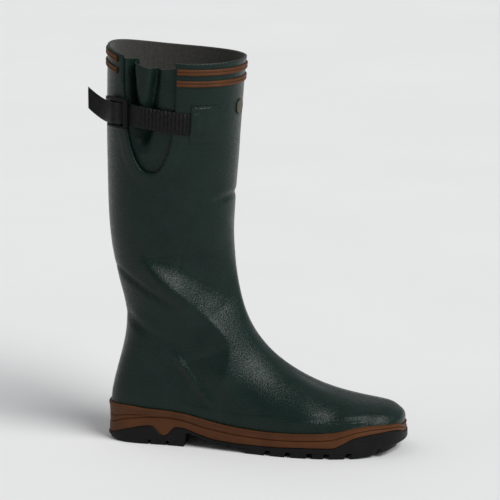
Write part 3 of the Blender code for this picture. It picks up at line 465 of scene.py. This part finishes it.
class Shade:
    """A procedural material: its Principled shader, and short ways to add nodes to it."""

    def __init__(self, name, roughness, specular):
        self.material = bpy.data.materials.new(name + LOOKS)
        self.material.use_nodes = True
        self.nodes = self.material.node_tree.nodes
        self.links = self.material.node_tree.links
        self.shader = self.nodes["Principled BSDF"]
        self.place = self.nodes.new("ShaderNodeTexCoord").outputs["Object"]
        self.set("Roughness", roughness)
        self.set("Specular IOR Level", specular)

    def put(self, socket, value):
        """Links a node's output to a socket, or sets the socket's own value."""
        if isinstance(value, bpy.types.NodeSocket):
            self.links.new(value, socket)
        else:
            socket.default_value = value

    def set(self, name, value):
        self.put(self.shader.inputs[name], value)

    def node(self, kind, inputs, **settings):
        """A new node with its settings, and with its inputs by name or number."""
        made = self.nodes.new(kind)
        for name, value in settings.items():
            setattr(made, name, value)
        for name, value in inputs.items():
            self.put(made.inputs[name], value)
        return made

    def texture(self, kind, output, inputs, **settings):
        """The output of a texture that keeps its place on the piece."""
        made = self.node("ShaderNodeTex" + kind, {"Vector": self.place, **inputs}, **settings)
        return made.outputs[output]

    def noise(self, scale, detail):
        return self.texture("Noise", "Fac", {"Scale": scale, "Detail": detail})

    def cells(self, scale):
        inputs = {"Scale": scale, "Smoothness": 0.6}
        return self.texture("Voronoi", "Distance", inputs, feature="SMOOTH_F1")

    def threads(self, direction, width):
        inputs = {"Scale": WAVE_LENGTH / width, "Distortion": 1.5}
        return self.texture("Wave", "Fac", inputs, bands_direction=direction)

    def ramp(self, value, low, high, dark, light):
        """Colours between two, by how far a value lies between low and high."""
        made = self.node("ShaderNodeValToRGB", {"Fac": value})
        first, last = made.color_ramp.elements
        first.position, last.position = low, high
        first.color, last.color = (*dark, 1), (*light, 1)
        return made.outputs["Color"]

    def grey(self, value, low, high, dark, light):
        return self.ramp(value, low, high, (dark,) * 3, (light,) * 3)

    def math(self, operation, first, second):
        return self.node("ShaderNodeMath", {0: first, 1: second}, operation=operation).outputs[0]

    def bump(self, height, strength, distance):
        inputs = {"Height": height, "Strength": strength, "Distance": distance}
        self.set("Normal", self.node("ShaderNodeBump", inputs).outputs["Normal"])


def rubber(name, dark, light, roughness, grain, grain_size, specular):
    """Moulded rubber: a cloudy colour, a fine pebbled grain and a patchy sheen."""
    shade = Shade(name, roughness, specular)
    shade.set("Base Color", shade.ramp(shade.noise(55, 4), 0.3, 0.7, dark, light))
    patches = shade.noise(140, 5)
    shade.set("Roughness", shade.grey(patches, 0.25, 0.75, roughness - 0.05, roughness + 0.07))
    uneven = shade.math("MULTIPLY", shade.noise(0.4 / grain_size, 3), 0.8)
    shade.bump(shade.math("ADD", shade.cells(1 / grain_size), uneven), grain, 0.0004)
    return shade.material


def cloth(name, dark, light, thread, roughness=0.85, specular=0.25, sheen=0.25):
    """Woven or knitted cloth: crossing threads and small changes of tone."""
    shade = Shade(name, roughness, specular)
    shade.set("Base Color", shade.ramp(shade.noise(400, 4), 0.3, 0.7, dark, light))
    shade.bump(shade.math("ADD", shade.threads("X", thread), shade.threads("Z", thread)), 0.35, 0.0004)
    shade.set("Sheen Weight", sheen)
    shade.set("Sheen Roughness", 0.5)
    return shade.material


def plastic(name, dark, light, roughness, specular):
    """Moulded plastic with a faint texture."""
    shade = Shade(name, roughness, specular)
    shade.set("Base Color", shade.ramp(shade.noise(90, 3), 0.35, 0.65, dark, light))
    patches = shade.noise(300, 4)
    shade.set("Roughness", shade.grey(patches, 0.3, 0.7, roughness - 0.06, roughness + 0.08))
    shade.bump(shade.noise(1500, 2), 0.12, 0.0002)
    return shade.material


# The upper


def upper_places():
    """Places of the upper's rows, closer round the tip of the toe."""
    spacing, close, tip_rows = 2.6, 16.0, 14
    tip = close * np.linspace(0, 1, tip_rows) ** 1.5
    even = np.arange(close + spacing, KNOTS[-1] - spacing / 2, spacing)
    return np.concatenate([tip, even, KNOTS[-1:]])


def upper_angles(places, columns):
    """Angles of the upper's columns: all the way round, or between two feather points."""
    cut = over_line(places, 0, feather) < -1e-6
    limit = np.full(len(places), 150.0)
    low = bisect(lambda angle: over_line(places, angle, feather), 0 * limit, limit)
    high = bisect(lambda angle: over_line(places, 360 - angle, feather), 0 * limit, limit)
    low, high = np.where(cut, low, 0), np.where(cut, high, 0)
    return low[:, None] + (360 - low - high)[:, None] * np.linspace(0, 1, columns + 1)


def near_line(x, z, line, count=60):
    """Signed distance from a curve of the side view, and the share of its length."""
    curve = natural_spline(np.arange(len(line)), line)(np.linspace(0, len(line) - 1, count))
    ahead = np.diff(curve, axis=0)
    right, up = x[:, None] - curve[:-1, 0], z[:, None] - curve[:-1, 1]
    part = np.clip((right * ahead[:, 0] + up * ahead[:, 1]) / (ahead**2).sum(axis=1), 0, 1)
    reach = np.hypot(right - part * ahead[:, 0], up - part * ahead[:, 1])
    best = reach.argmin(axis=1)
    every = np.arange(len(x))
    side = ahead[best, 0] * up[every, best] - ahead[best, 1] * right[every, best]
    return np.sign(side) * reach[every, best], (best + part[every, best]) / len(ahead)


def fold_height(away, share, width):
    """A crest that widens from its tip, with a steep flank above and a slow fall below."""
    tip_reach, opens_over, low_crest, recovery = 0.06, 0.33, 0.6, 2.4
    crest_round, foot_round, foot_reach = 0.12, 2.0, 1.5
    reach = width * np.maximum(smooth((share + 0.02) / opens_over), tip_reach)
    steps = np.linspace(0, 12, 601)
    slope = steps / np.hypot(steps, crest_round) / (1 + steps**3)
    fallen = np.cumsum(slope) * steps[1]
    crest = fallen[-1] * (low_crest + (1 - low_crest) * smooth((share - 0.45) / 0.25))
    hollow = (fallen[-1] - crest) * smooth((away / reach - 1) / recovery)
    above = crest - np.interp(away / reach, steps, fallen) + hollow
    below = crest * np.exp(-(np.hypot(away, foot_round) - foot_round) / (foot_reach * width))
    return reach * np.where(away > 0, above, below)


def crease_height(crease, x, z, sine):
    """How far one crease moves the points out, or in where it is negative."""
    step_reach, side_fade = 14, 0.4
    away, share = near_line(x, z, crease.line)
    start, end = FOLD_ENDS if crease.form == "fold" else CREASE_ENDS
    fade = smooth(share / start) * smooth((1 - share) / end)
    if crease.form == "fold":
        less = sum(much * smooth((share - first) / over) for much, first, over in FOLD_EASING)
        height = fold_height(away, share, crease.width) * (1 - less)
    elif crease.form == "step":
        near = bell(np.maximum(-away, 0), step_reach)
        height = (1 - smooth(away / crease.width + 0.5)) * near
    else:
        height = bell(away, crease.width) * (1 if crease.form == "ridge" else -1)
    if crease.side != "both":
        height = height * smooth((sine if crease.side == "outer" else -sine) / side_fade)
    return crease.depth * fade * height


def opening_line(count=161):
    """The rounded edge of the cut-out in the side view, from front to back."""
    turn = np.linspace(-np.pi / 2, np.pi / 2, count)
    height = OPENING_FOOT + OPENING_TALL * (1 - np.cos(turn) ** (2 / OPENING_POWER))
    across = np.sign(turn) * np.abs(np.sin(turn)) ** (2 / OPENING_POWER)
    return np.column_stack([OPENING_X - OPENING_HALF * across, height])


def outside_opening(x, z):
    """Positive outside the cut-out, negative inside it."""
    climb = np.clip((z - OPENING_FOOT) / OPENING_TALL, 0, 1)
    half = OPENING_HALF * (1 - (1 - climb) ** OPENING_POWER) ** (1 / OPENING_POWER)
    away = np.abs(x - OPENING_X)
    return np.where(z > OPENING_FOOT, away - half, np.maximum(away, OPENING_FOOT - z))


def hem_height(x, z, sine):
    """Steps of thicker rubber round the foot of the cut-out."""
    soft, top, fades_over, half = 1.6, 345, 50, 70
    line = opening_line()
    reach = np.hypot(x[:, None] - line[:, 0], z[:, None] - line[:, 1]).min(axis=1)
    height = sum(rise * (1 - smooth((reach - out) / soft + 0.5)) for out, rise in HEM_STEPS)
    return height * smooth((top - z) / fades_over) * (sine > 0) * (np.abs(x - OPENING_X) < half)


def grid_normals(points):
    """Outward normals of a grid of points by differences."""
    return unit(np.cross(np.gradient(points, axis=1), np.gradient(points, axis=0)))


def cut_opening(points, faces, sine):
    """Moves the points nearest to the cut-out's edge onto it, and drops the faces inside."""
    elsewhere = 99.0  # level of the points that are not on the outer side
    faces = np.array(faces)
    level = np.where(sine > 0.05, outside_opening(points[:, 0], points[:, 2]), elsewhere)
    ends = np.concatenate([faces[:, [k, (k + 1) % 4]] for k in range(4)])
    ends = ends[(level[ends] > 0).sum(axis=1) == 1]
    ends = ends[(level[ends] < elsewhere).all(axis=1)]
    first, last = points[ends[:, 0]], points[ends[:, 1]]

    def passing(share):
        spot = first + share[:, None] * (last - first)
        return outside_opening(spot[:, 0], spot[:, 2]) * np.where(level[ends[:, 0]] < 0, 1, -1)

    share = bisect(passing, np.zeros(len(ends)), np.ones(len(ends)), 30)
    moved = {}
    for (a, b), part in zip(ends, share):
        near, reach = (a, part) if part < 0.5 else (b, 1 - part)
        if near not in moved or reach < moved[near][0]:
            moved[near] = (reach, points[a] + part * (points[b] - points[a]))
    for vertex, (_, spot) in moved.items():
        points[vertex] = spot
        level[vertex] = 0
    kept = []
    for face in faces.tolist():
        face = [v for v in face if level[v] >= 0]
        if len(face) > 2 and level[face].max() > 0:
            kept.append(face)
    return points, kept


def make_upper(green, lining):
    """The moulded wall with its creases, its steps and its lined inside."""
    columns = 200
    places = upper_places()
    angles = upper_angles(places, columns)
    points = upper_point(np.repeat(places, columns + 1), angles.ravel())
    sine = np.sin(np.radians(angles.ravel()))
    x, z = points[:, 0], points[:, 2]
    push = sum(crease_height(crease, x, z, sine) for crease in CREASES + STEPS)
    push = push + hem_height(x, z, sine)
    normal = grid_normals(points.reshape(len(places), columns + 1, 3)).reshape(-1, 3)
    points = points + normal * push[:, None]
    points, faces = cut_opening(points, grid_faces(len(places), columns + 1), sine)
    made = new_piece("upper_rubber", points, faces, [green, lining], "upper", weld=2e-5)
    with edited(made.data) as opened:
        loose = [v for v in opened.verts if not v.link_faces]
        bmesh.ops.delete(opened, geom=loose, context="VERTS")
    wall = made.modifiers.new("Wall", "SOLIDIFY")
    wall.thickness = WALL * MM
    wall.offset = -1
    wall.use_even_offset = True
    wall.material_offset = 1


def make_gusset(green):
    """The panel behind the cut-out, with rounded pleats that open towards the collar."""
    rows, columns = 84, 130
    opens_over, open_low = 0.32, 0.8
    angle = np.linspace(*GUSSET_ANGLES, columns)[None, :]
    share = np.linspace(0, 1, rows)[:, None]
    dip = GUSSET_DIP * bell(angle - DIP_ANGLE, DIP_SPREAD)
    height = GUSSET_FOOT + share * (rim_height(angle) - GUSSET_BELOW_RIM - dip - GUSSET_FOOT)
    climb = np.clip((height - FOLDS_FOOT) / (RIM - FOLDS_FOOT), 0, 1)
    open_out = smooth(climb / opens_over) * (open_low + (1 - open_low) * climb)
    inward = WALL + 2 * GAP
    for fold in FOLDS:
        away = angle - monotone(fold.heights, fold.angles)(height)
        inward = inward + fold.depth * open_out * bell(away, fold.spread * (2 - climb))
    outside = on_shaft(angle, height, -inward)
    inside = on_shaft(angle, height, -inward - GUSSET_THICK)
    closed_piece("gusset_panel", slab_mesh(outside, inside), green, "gusset")


# The collar's bands, the strap and its fittings


def make_band(name, below_rim, brown):
    """A band of two round ribs along the collar."""
    half = BAND_HEIGHT / 2
    across = np.linspace(-half, half, 17)
    hump = np.sqrt(np.clip(1 - ((np.abs(across) - half / 2) / (half / 2)) ** 2, 0, 1))
    section = np.column_stack([across, BAND_EDGE + BAND_RIB * hump])
    section = np.vstack([[-half, GAP], section, [half, GAP]])
    across, proud = section.T
    sections = [on_shaft(angle, band_height(angle) - below_rim + across, proud + BAND_SEAT)
                for angle in np.linspace(*BAND_ANGLES, 150)]
    closed_piece(name + "_ribbed", loft_mesh(sections), brown, name)


def strap_line():
    """Stations along the strap: functions from distances across and through it to points."""
    stations_round, stations_tail = 250, 60
    route_angles, route_clear = np.array(STRAP_ROUTE)[::-1].T
    clear = monotone(route_angles, route_clear)
    stations = []
    for a in np.linspace(STRAP_END, BUCKLE_END, stations_round):
        stations.append(lambda across, through, a=a:
                        on_shaft(a, strap_height(a) + across, clear(a) + through))
    start, out = on_shaft(BUCKLE_END, STRAP_HEIGHT, clear(BUCKLE_END) + np.array([0, 1]))
    before = on_shaft(BUCKLE_END + 1, STRAP_HEIGHT, clear(BUCKLE_END + 1))
    out = out - start
    ahead = unit(start - before)
    here = start
    up = np.array([0, 0, 1.0])
    for share in np.arange(1, stations_tail + 1) / stations_tail:
        turn = np.radians(TAIL_CURL) * share
        here = here + TAIL_LENGTH / stations_tail * (ahead * np.cos(turn) + out * np.sin(turn))
        face = out * np.cos(turn) - ahead * np.sin(turn)
        middle = here + up * TAIL_RISE * share**2
        stations.append(lambda across, through, m=middle, f=face:
                        m + np.multiply.outer(across, up) + np.multiply.outer(through, f))
    return stations


def make_strap(webbing):
    """Ribbed webbing, smooth where it runs through the buckle, and its curled tail."""
    ribs_end, ribs_fade, waver, edge_waver, sink = 58, 16, 0.55, 0.012, 0.15
    weave_depth, weave_pitch, edge_round = 0.1, 2.2, 0.45
    stations = strap_line()
    half = STRAP_WIDTH / 2
    across = half * np.sin(np.linspace(-np.pi / 2, np.pi / 2, 15))
    middles = np.array([station(np.zeros(1), np.zeros(1))[0] for station in stations])
    length = np.concatenate([[0], np.cumsum(np.linalg.norm(np.diff(middles, axis=0), axis=1))])
    round_edge = 1 - edge_round * (np.abs(across) / half) ** 8
    weave = weave_depth * np.sin(across * 2 * np.pi / weave_pitch)
    outside, inside = [], []
    for station, along in zip(stations, length):
        ribbed = smooth((ribs_end - along) / ribs_fade)
        rib = np.abs(np.sin(np.pi * along / RIB_PITCH + waver * np.sin(across * 0.9 + along * 0.35)))
        lift = STRAP_THICK * round_edge - ribbed * RIB_DEPTH * (1 - rib) + (1 - ribbed) * weave - sink
        wide = across * (1 + edge_waver * np.sin(along * 2 * np.pi / RIB_PITCH) * ribbed)
        outside.append(station(wide, lift))
        inside.append(station(wide, 0.35 * (1 - round_edge)))
    mesh = slab_mesh(np.array(outside), np.array(inside))
    closed_piece("strap_webbing", mesh, webbing, "strap", sharp=60)


def round_box(low, high, radius, count=3):
    """A rounded rectangle between two corners, as points in order."""
    turns = np.linspace(0, np.pi / 2, count + 1)
    (left, foot), (right, top) = np.add(low, radius), np.subtract(high, radius)
    corners = (right, top), (left, top), (left, foot), (right, foot)
    parts = []
    for k, middle in enumerate(corners):
        angle = turns + k * np.pi / 2
        parts.append(middle + radius * np.column_stack([np.cos(angle), np.sin(angle)]))
    return np.concatenate(parts)


def make_buckle(black):
    """The slide buckle: two rounded rails and three rounded bars between them."""
    rail_round, bar_round, overlap = 1.0, 0.65, 0.8
    meshes = []
    for low, high in ((RAIL_INSIDE, RAIL_OUTSIDE), (-RAIL_OUTSIDE, -RAIL_INSIDE)):
        shape = round_box((low, RAIL.low), (high, RAIL.high), rail_round)
        meshes.append(loft_mesh([on_shaft(angle, strap_height(angle) + shape[:, 0], shape[:, 1])
                                 for angle in np.linspace(RAIL.start, RAIL.end, 22)]))
    reach = RAIL_INSIDE + overlap
    for bar in BARS:
        angle, proud = round_box((bar.start, bar.low), (bar.end, bar.high), bar_round).T
        meshes.append(loft_mesh([on_shaft(angle, strap_height(angle) + across, proud)
                                 for across in np.linspace(-reach, reach, 9)]))
    closed_piece("buckle_slide", joined(meshes), black, "buckle", sharp=50)


def make_strap_tab(green):
    """The patch over the strap's fixed end, with a ledge below it, fading into the shaft."""
    ledge, top, edge, seat = -11.5, 18.4, 2.4, GAP + 0.1
    pad_thick, ledge_thick, strap_thick, least = 1.3, 0.5, 0.9, 0.1
    angle = np.linspace(STRAP_END + 0.6, TAB_END, 70)[None, :]
    across = np.linspace(-TAB_HALF, TAB_HALF, 78)[:, None]
    height = strap_height(STRAP_END) + across
    forward = (angle - STRAP_END) / (TAB_END - STRAP_END)
    fade = 1 - smooth((forward - 0.45) / 0.5)
    pad = smooth((across - ledge) / edge) * smooth((top - across) / edge)
    strap_under = smooth((10.5 - np.abs(across - 2)) / 2.5) * (1 - smooth((forward - 0.18) / 0.22))
    rounded = smooth((angle - STRAP_END - 0.3) / 1.2) * 0.5 + 0.5
    ledge_pad = smooth((across + TAB_HALF) / edge) * (1 - smooth((forward - 0.3) / 0.5))
    thick = pad_thick * pad * fade + ledge_thick * ledge_pad * (1 - pad)
    thick = least + (thick + strap_thick * strap_under * pad) * rounded
    outside = on_shaft(angle, height, seat + thick)
    inside = on_shaft(angle, height, np.full_like(thick, GAP / 2))
    closed_piece("strap_patch", slab_mesh(outside, inside), green, "strap_tab")


def make_disc(olive):
    """The bare disc on the front of the shaft, with a rounded rim and a low dome."""
    ends = on_shaft(DISC_ANGLE + np.array([-0.5, 0.5]), DISC_HEIGHT, 0.0)
    per_degree = np.linalg.norm(ends[1] - ends[0])
    turns = np.linspace(0, 2 * np.pi, 56, endpoint=False)
    rings = []
    for radius, proud in DISC_PROFILE:
        angle = DISC_ANGLE + radius * np.cos(turns) / per_degree
        rings.append(on_shaft(angle, DISC_HEIGHT + radius * np.sin(turns), proud))
    mesh = np.concatenate(rings), ring_faces(len(rings), len(turns))
    closed_piece("badge_bare", mesh, olive, "badge_disc", weld=1e-5)


# The sole


def side_line(x):
    """The line whose outline the sole's side follows lower down."""
    return np.maximum(feather(x) + 2, np.minimum(rand_top(x), TOE_GIRTH))


class SoleOutline:
    """Outlines of the foot from heel to toe, and solids made from loops of them."""

    def __init__(self):
        heel_long, toe_long, heel_step, step = 30, 64, 1.6, 2.4
        x = side_lines(side_line)[0]
        heel = x[0] + heel_long * (1 - np.cos(np.linspace(0, np.pi / 2, 22)))
        toe = x[-1] - toe_long * (1 - np.cos(np.linspace(np.pi / 2, 0, 36)))
        breast = HEEL_LUGS[-1] + np.array([-0.6, 0.2, 2.6, 3.5])
        before = np.arange(heel[-1] + heel_step, breast[0] - heel_step / 2, heel_step)
        after = np.arange(breast[-1] + step, toe[0] - step / 2, step)
        stations = np.concatenate([heel, before, breast, after, toe])
        self.shares = (stations - x[0]) / np.ptp(x)
        self.count = 2 * len(stations) - 2

    def contour(self, height, proud):
        """Points along a height line, outer side then inner, moved out by proud, and their X."""
        x, outer, inner = side_lines(height)
        stations = x[0] + self.shares * np.ptp(x)
        there, back = (np.column_stack([stations, np.interp(stations, x, y)]) for y in (outer, inner))
        points = np.concatenate([there, back[-2:0:-1]])
        ahead = np.roll(points, -1, axis=0) - points
        normal = unit(np.column_stack([ahead[:, 1], -ahead[:, 0]]))
        normal = unit(normal + np.roll(normal, 1, axis=0))
        proud = proud(points[:, 0]) if callable(proud) else proud
        return points + normal * np.broadcast_to(proud, len(points))[:, None], points[:, 0]

    def inner_shift(self, x):
        """The X whose heights hold: the rise at the toe ends sooner on the inner side."""
        most, start, over = 8, 270, 20
        moved = np.minimum(x + most * smooth((x - start) / over), np.maximum(x, SOLE_X[-1]))
        return np.where(np.arange(len(x)) < len(self.shares), x, moved)

    def loop(self, height, proud):
        """A closed loop round the sole's side at a height line."""
        flat, x = self.contour(lambda x: np.maximum(height(x), side_line(x)), proud)
        return np.column_stack([flat, height(self.inner_shift(x))])

    def foot_loop(self, height, proud, drop=0.0):
        """A closed loop close to the foot itself, lowered by drop."""
        flat, x = self.contour(height, proud)
        return np.column_stack([flat, height(self.inner_shift(x)) - drop])

    def side(self, x, proud, inner):
        """Y of the outer or inner side at an X, moved out by proud."""
        moved = self.contour(side_line, proud)[0]
        turn = len(self.shares)
        half = np.vstack([moved[turn - 1 :], moved[:1]])[::-1] if inner else moved[:turn]
        return np.interp(x, half[:, 0], half[:, 1])

    def middle(self, x):
        """Y halfway between the two sides at an X."""
        return (self.side(x, 0, False) + self.side(x, 0, True)) / 2

    def mesh(self, loops):
        """A skin from the first loop, closed across, to the last, closed too."""
        last = len(self.shares) - 1
        closing = [(0, 1, self.count - 1), (last - 1, last, last + 1)]
        closing += [(i, i + 1, self.count - i - 1, self.count - i) for i in range(1, last - 1)]
        faces = ring_faces(len(loops), self.count)
        faces += [list(face[::-1]) for face in closing]
        top = (len(loops) - 1) * self.count
        faces += [[top + v for v in face] for face in closing]
        return np.concatenate(loops), faces


def between(low, high, share, by=0.0):
    """A height line part of the way between two, moved up where there is room."""
    full_room, least = 8, 0.2

    def at(x):
        room = high(x) - low(x)
        part = share(x) if callable(share) else share
        return low(x) + part * room + by * np.clip(room / full_room, least, 1)

    return at


def raised(line, by):
    """A height line moved up."""
    return lambda x: line(x) + by


def make_midsole(outline, brown):
    """The brown cup: floor, rand with its grooves, a rounded lip and a soft lower edge."""
    lip, band, bottom, inside, seam = 2.7, 2.2, 3.0, 1.6, GAP / 2
    heel_end, heel_fade = 30, 20  # X where the heel's second groove starts to fade, and over how much

    def heel_share(x):
        return 0.27 + 0.13 * np.exp(-np.maximum(x, 0) / 10)

    def heel_only(deep):
        return lambda x: band + 0.25 - deep * (1 - np.clip((x - heel_end) / heel_fade, 0, 1))

    rows = [(raised(split_core, seam), inside), (raised(split, seam), inside),
            (raised(split, seam), bottom - 0.5), (raised(split, seam + 0.15), bottom - 0.12),
            (raised(split, seam + 0.6), bottom), (between(split, groove, 0.5), bottom + 0.1)]
    for up, deep in GROOVE_PROFILE:
        edge = bottom - 0.2 if up < 0 else band + 0.3
        rows.append((between(groove, rand_top, 0, up), edge - deep))
    for up, deep in GROOVE_PROFILE:
        rows.append((between(groove, rand_top, heel_share, 0.7 * up), heel_only(0.85 * deep)))
    for share, proud in ((0.8, band + 0.15), (0.86, lip - 0.1), (0.91, lip + 0.1), (0.955, lip - 0.05),
                         (0.985, lip - 0.5), (1.0, lip - 1.15)):
        rows.append((between(groove, rand_top, share), proud))
    loops = [outline.loop(height, proud) for height, proud in rows]
    loops.append(outline.foot_loop(rand_top, 0.15))
    loops.append(outline.foot_loop(between(feather, rand_top, 0.5), 0.1))
    loops.append(outline.foot_loop(feather, 0.3, GAP))
    closed_piece("midsole_rand", outline.mesh(loops), brown, "midsole", sharp=60)


def lug_spans(slots, width):
    """Start and end of each lug between neighbouring slots of a width."""
    return [(a + width / 2, b - width / 2) for a, b in zip(slots, slots[1:])]


def tread_outlines(outline):
    """Plan outlines of the lugs: two rows at heel and forefoot, and a middle row."""
    heel_reach, reach, toe_reach, skew, flush, spine = 21.0, 27.0, 15.0, 5.0, 3.3, 1.0
    spacing, middle_long, middle_wide = 2.5, 8, 9

    def lug(start, end, inner, reach, skew):
        x = np.linspace(start, end, max(3, int(round((end - start) / spacing)) + 1))
        edge = outline.side(x, flush, inner)
        room = np.abs(outline.middle(x) - edge) - spine
        inward = edge + (-1 if inner else 1) * np.minimum(reach, room)
        return np.concatenate([np.column_stack([x, edge]), np.column_stack([x + skew, inward])[::-1]])

    shapes = []
    forefoot = lug_spans(FOREFOOT_LUGS, FOREFOOT_SLOT)
    for inner in (False, True):
        shapes += [lug(*span, inner, heel_reach, 0.0) for span in lug_spans(HEEL_LUGS, HEEL_SLOT)]
        shapes += [lug(*span, inner, reach, skew) for span in forefoot[:-1]]
        shapes.append(lug(*forefoot[-1], inner, toe_reach, 0.0))
    turns = np.radians(np.arange(0, 360, 60))
    for start, end in forefoot[:-2]:
        x = (start + end) / 2 + skew
        y = outline.middle(x) + middle_wide * np.sin(turns)
        shapes.append(np.column_stack([x + middle_long * np.cos(turns), y]))
    return shapes


def lug_mesh(shape):
    """One bevelled lug on its plan outline; the forefoot's lean back a little."""
    sunk, heel_end = 1.2, 100
    middle = shape.mean(axis=0)
    drawn = shape - middle
    far = np.linalg.norm(drawn, axis=1)[:, None]
    lean = LUG_LEAN * (shape[:, 0] > heel_end)
    lean = lean * (drawn[:, 0] - drawn[:, 0].min()) / np.ptp(drawn[:, 0])
    rings = [np.column_stack([shape, under(shape[:, 0]) + sunk])]
    for inset, lift in LUG_BEVEL:
        flat = middle + drawn * (1 - inset / far)
        flat[:, 0] -= lean
        rings.append(np.column_stack([flat, ground(flat[:, 0]) + lift]))
    return loft_mesh(rings)


def make_outsole(outline, black):
    """The black plate with toe bumper and heel, fine ribs on the flare, and lugs."""
    seam, inside, rim, side, low = -GAP / 2, 1.9, 3.3, 3.9, 3.0
    ribs, rib_depth, ribs_fade, slot_half, slot_depth = 4, 0.5, 4, 0.9, 1.2

    def ribbed(share, proud):
        def at(x):
            there = smooth((x - TOE_RIBS[0]) / ribs_fade) * smooth((TOE_RIBS[1] - x) / ribs_fade)
            rib = 0.5 - 0.5 * np.cos(2 * np.pi * ribs * share)
            slot = bell(x - BUMPER_SPLIT, slot_half) * smooth((share - 0.05) / 0.1)
            return proud - there * rib_depth * rib - slot_depth * slot

        return at

    rows = [(under, low - 1.0), (raised(under, 0.1), low)]
    for share in np.linspace(0.06, 0.94, 19):
        taper = -0.35 * bell(share, 0.08) - 0.25 * bell(1 - share, 0.07)
        rows.append((between(under, split, share), ribbed(share, side + taper)))
    rows += [(raised(split, seam - 0.1), rim + 0.2), (raised(split, seam), rim - 0.2),
             (raised(split, seam), inside), (raised(split_core, seam), inside)]
    plate = outline.mesh([outline.loop(height, proud) for height, proud in rows])
    closed_piece("outsole_tread", plate, black, "outsole", sharp=50)
    lugs = joined([lug_mesh(shape) for shape in tread_outlines(outline)])
    closed_piece("outsole_lugs", lugs, black, sharp=50)


# Stage, lights and camera

FLOOR_REACH = 14.0
FLOOR_TONES = (0.80,) * 3, (0.82,) * 3
SURROUND, SURROUND_STRENGTH = (0.95, 0.97, 1.0, 1), 0.22
Sun = namedtuple("Sun", "name toward strength spread")
SUNS = (
    Sun("key", (0.646, -0.343, 0.682), 2.9, 37),
    Sun("left_back", (-0.633, 0.112, 0.766), 0.6, 60),
    Sun("back", (0.0, 0.93, 0.37), 0.12, 60),
)
AZIMUTH, ELEVATION, DISTANCE = 11.72, 12.93, 3.0  # the photograph's view of the boot
LENS, SENSOR = 214.0, 36.0
TARGET = (144.1, -1.2, 200.0)  # the point that the camera looks at, in the last's frame


def make_stage():
    """A wide pale floor."""
    mesh = bpy.data.meshes.new("floor")
    corners = [(FLOOR_REACH * x, FLOOR_REACH * y, 0) for x, y in ((-1, -1), (1, -1), (1, 1), (-1, 1))]
    mesh.from_pydata(corners, [], [(0, 1, 2, 3)])
    shade = Shade("pale_floor", 0.7, 0.2)
    shade.set("Base Color", shade.ramp(shade.noise(3, 2), 0.3, 0.7, *FLOOR_TONES))
    mesh.materials.append(shade.material)
    floor = link("floor", mesh)


def aim(made, place, target):
    """Puts a light or the camera at a place and points it at a target."""
    made.location = place
    made.rotation_euler = (Vector(target) - Vector(place)).to_track_quat("-Z", "Y").to_euler()


def make_lights():
    """A dim surround, a broad soft key light from the upper right, and two fainter ones behind."""
    scene = bpy.context.scene
    scene.world = bpy.data.worlds.new("studio")
    scene.world.use_nodes = True
    background = scene.world.node_tree.nodes["Background"]
    background.inputs["Color"].default_value = SURROUND
    background.inputs["Strength"].default_value = SURROUND_STRENGTH
    for sun in SUNS:
        lamp = bpy.data.lights.new(sun.name, "SUN")
        lamp.energy = sun.strength
        lamp.angle = np.radians(sun.spread)
        aim(link(sun.name, lamp), sun.toward, (0, 0, 0))
    scene.view_settings.view_transform = "Standard"


def make_camera():
    """The camera, with the photograph's view of the boot."""
    data = bpy.data.cameras.new("camera")
    data.lens = LENS
    data.sensor_width = SENSOR
    camera = link("camera", data)
    target = Vector((np.array(TARGET) + HOME) * MM)
    a, e = np.radians([AZIMUTH, ELEVATION])
    back = Vector((np.sin(a) * np.cos(e), -np.cos(a) * np.cos(e), np.sin(e)))
    aim(camera, target + DISTANCE * back, target)
    bpy.context.scene.camera = camera


def main():
    """Builds every piece, dresses the two solids that stay, and sets the stage."""
    green = rubber("green_rubber", (0.0048, 0.0136, 0.0108), (0.0066, 0.0176, 0.0141),
                   roughness=0.27, grain=0.75, grain_size=0.0010, specular=0.18)
    brown = rubber("brown_rubber", (0.071, 0.026, 0.0092), (0.092, 0.034, 0.0130),
                   roughness=0.48, grain=0.2, grain_size=0.0009, specular=0.12)
    black = rubber("black_rubber", (0.0050, 0.0050, 0.0055), (0.0075, 0.0075, 0.0082),
                   roughness=0.50, grain=0.2, grain_size=0.0010, specular=0.13)
    olive = rubber("olive_rubber", (0.040, 0.031, 0.017), (0.052, 0.041, 0.023),
                   roughness=0.45, grain=0.08, grain_size=0.0008, specular=0.4)
    lining = cloth("lining", (0.035, 0.034, 0.030), (0.055, 0.053, 0.047), thread=0.0012)
    felt = cloth("footbed_fabric", (0.04, 0.04, 0.042), (0.065, 0.065, 0.068), thread=0.0015)
    webbing = cloth("black_webbing", (0.0016, 0.0016, 0.0018), (0.0095, 0.0095, 0.0099),
                    thread=0.0007, roughness=0.4, specular=0.155, sheen=0.0)
    dull = plastic("black_plastic", (0.0024, 0.0026, 0.0027), (0.0038, 0.0041, 0.0043),
                   roughness=0.26, specular=0.1)
    make_upper(green, lining)
    make_gusset(green)
    for name, below_rim in BANDS.items():
        make_band(name, below_rim, brown)
    make_strap(webbing)
    make_buckle(dull)
    make_strap_tab(green)
    make_disc(olive)
    outline = SoleOutline()
    make_midsole(outline, brown)
    make_outsole(outline, black)
    for node, material in (("insole", felt), ("buckle_loop", webbing)):
        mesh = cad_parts[node].data
        mesh.materials.clear()
        mesh.materials.append(material)
    make_stage()
    make_lights()
    make_camera()


main()
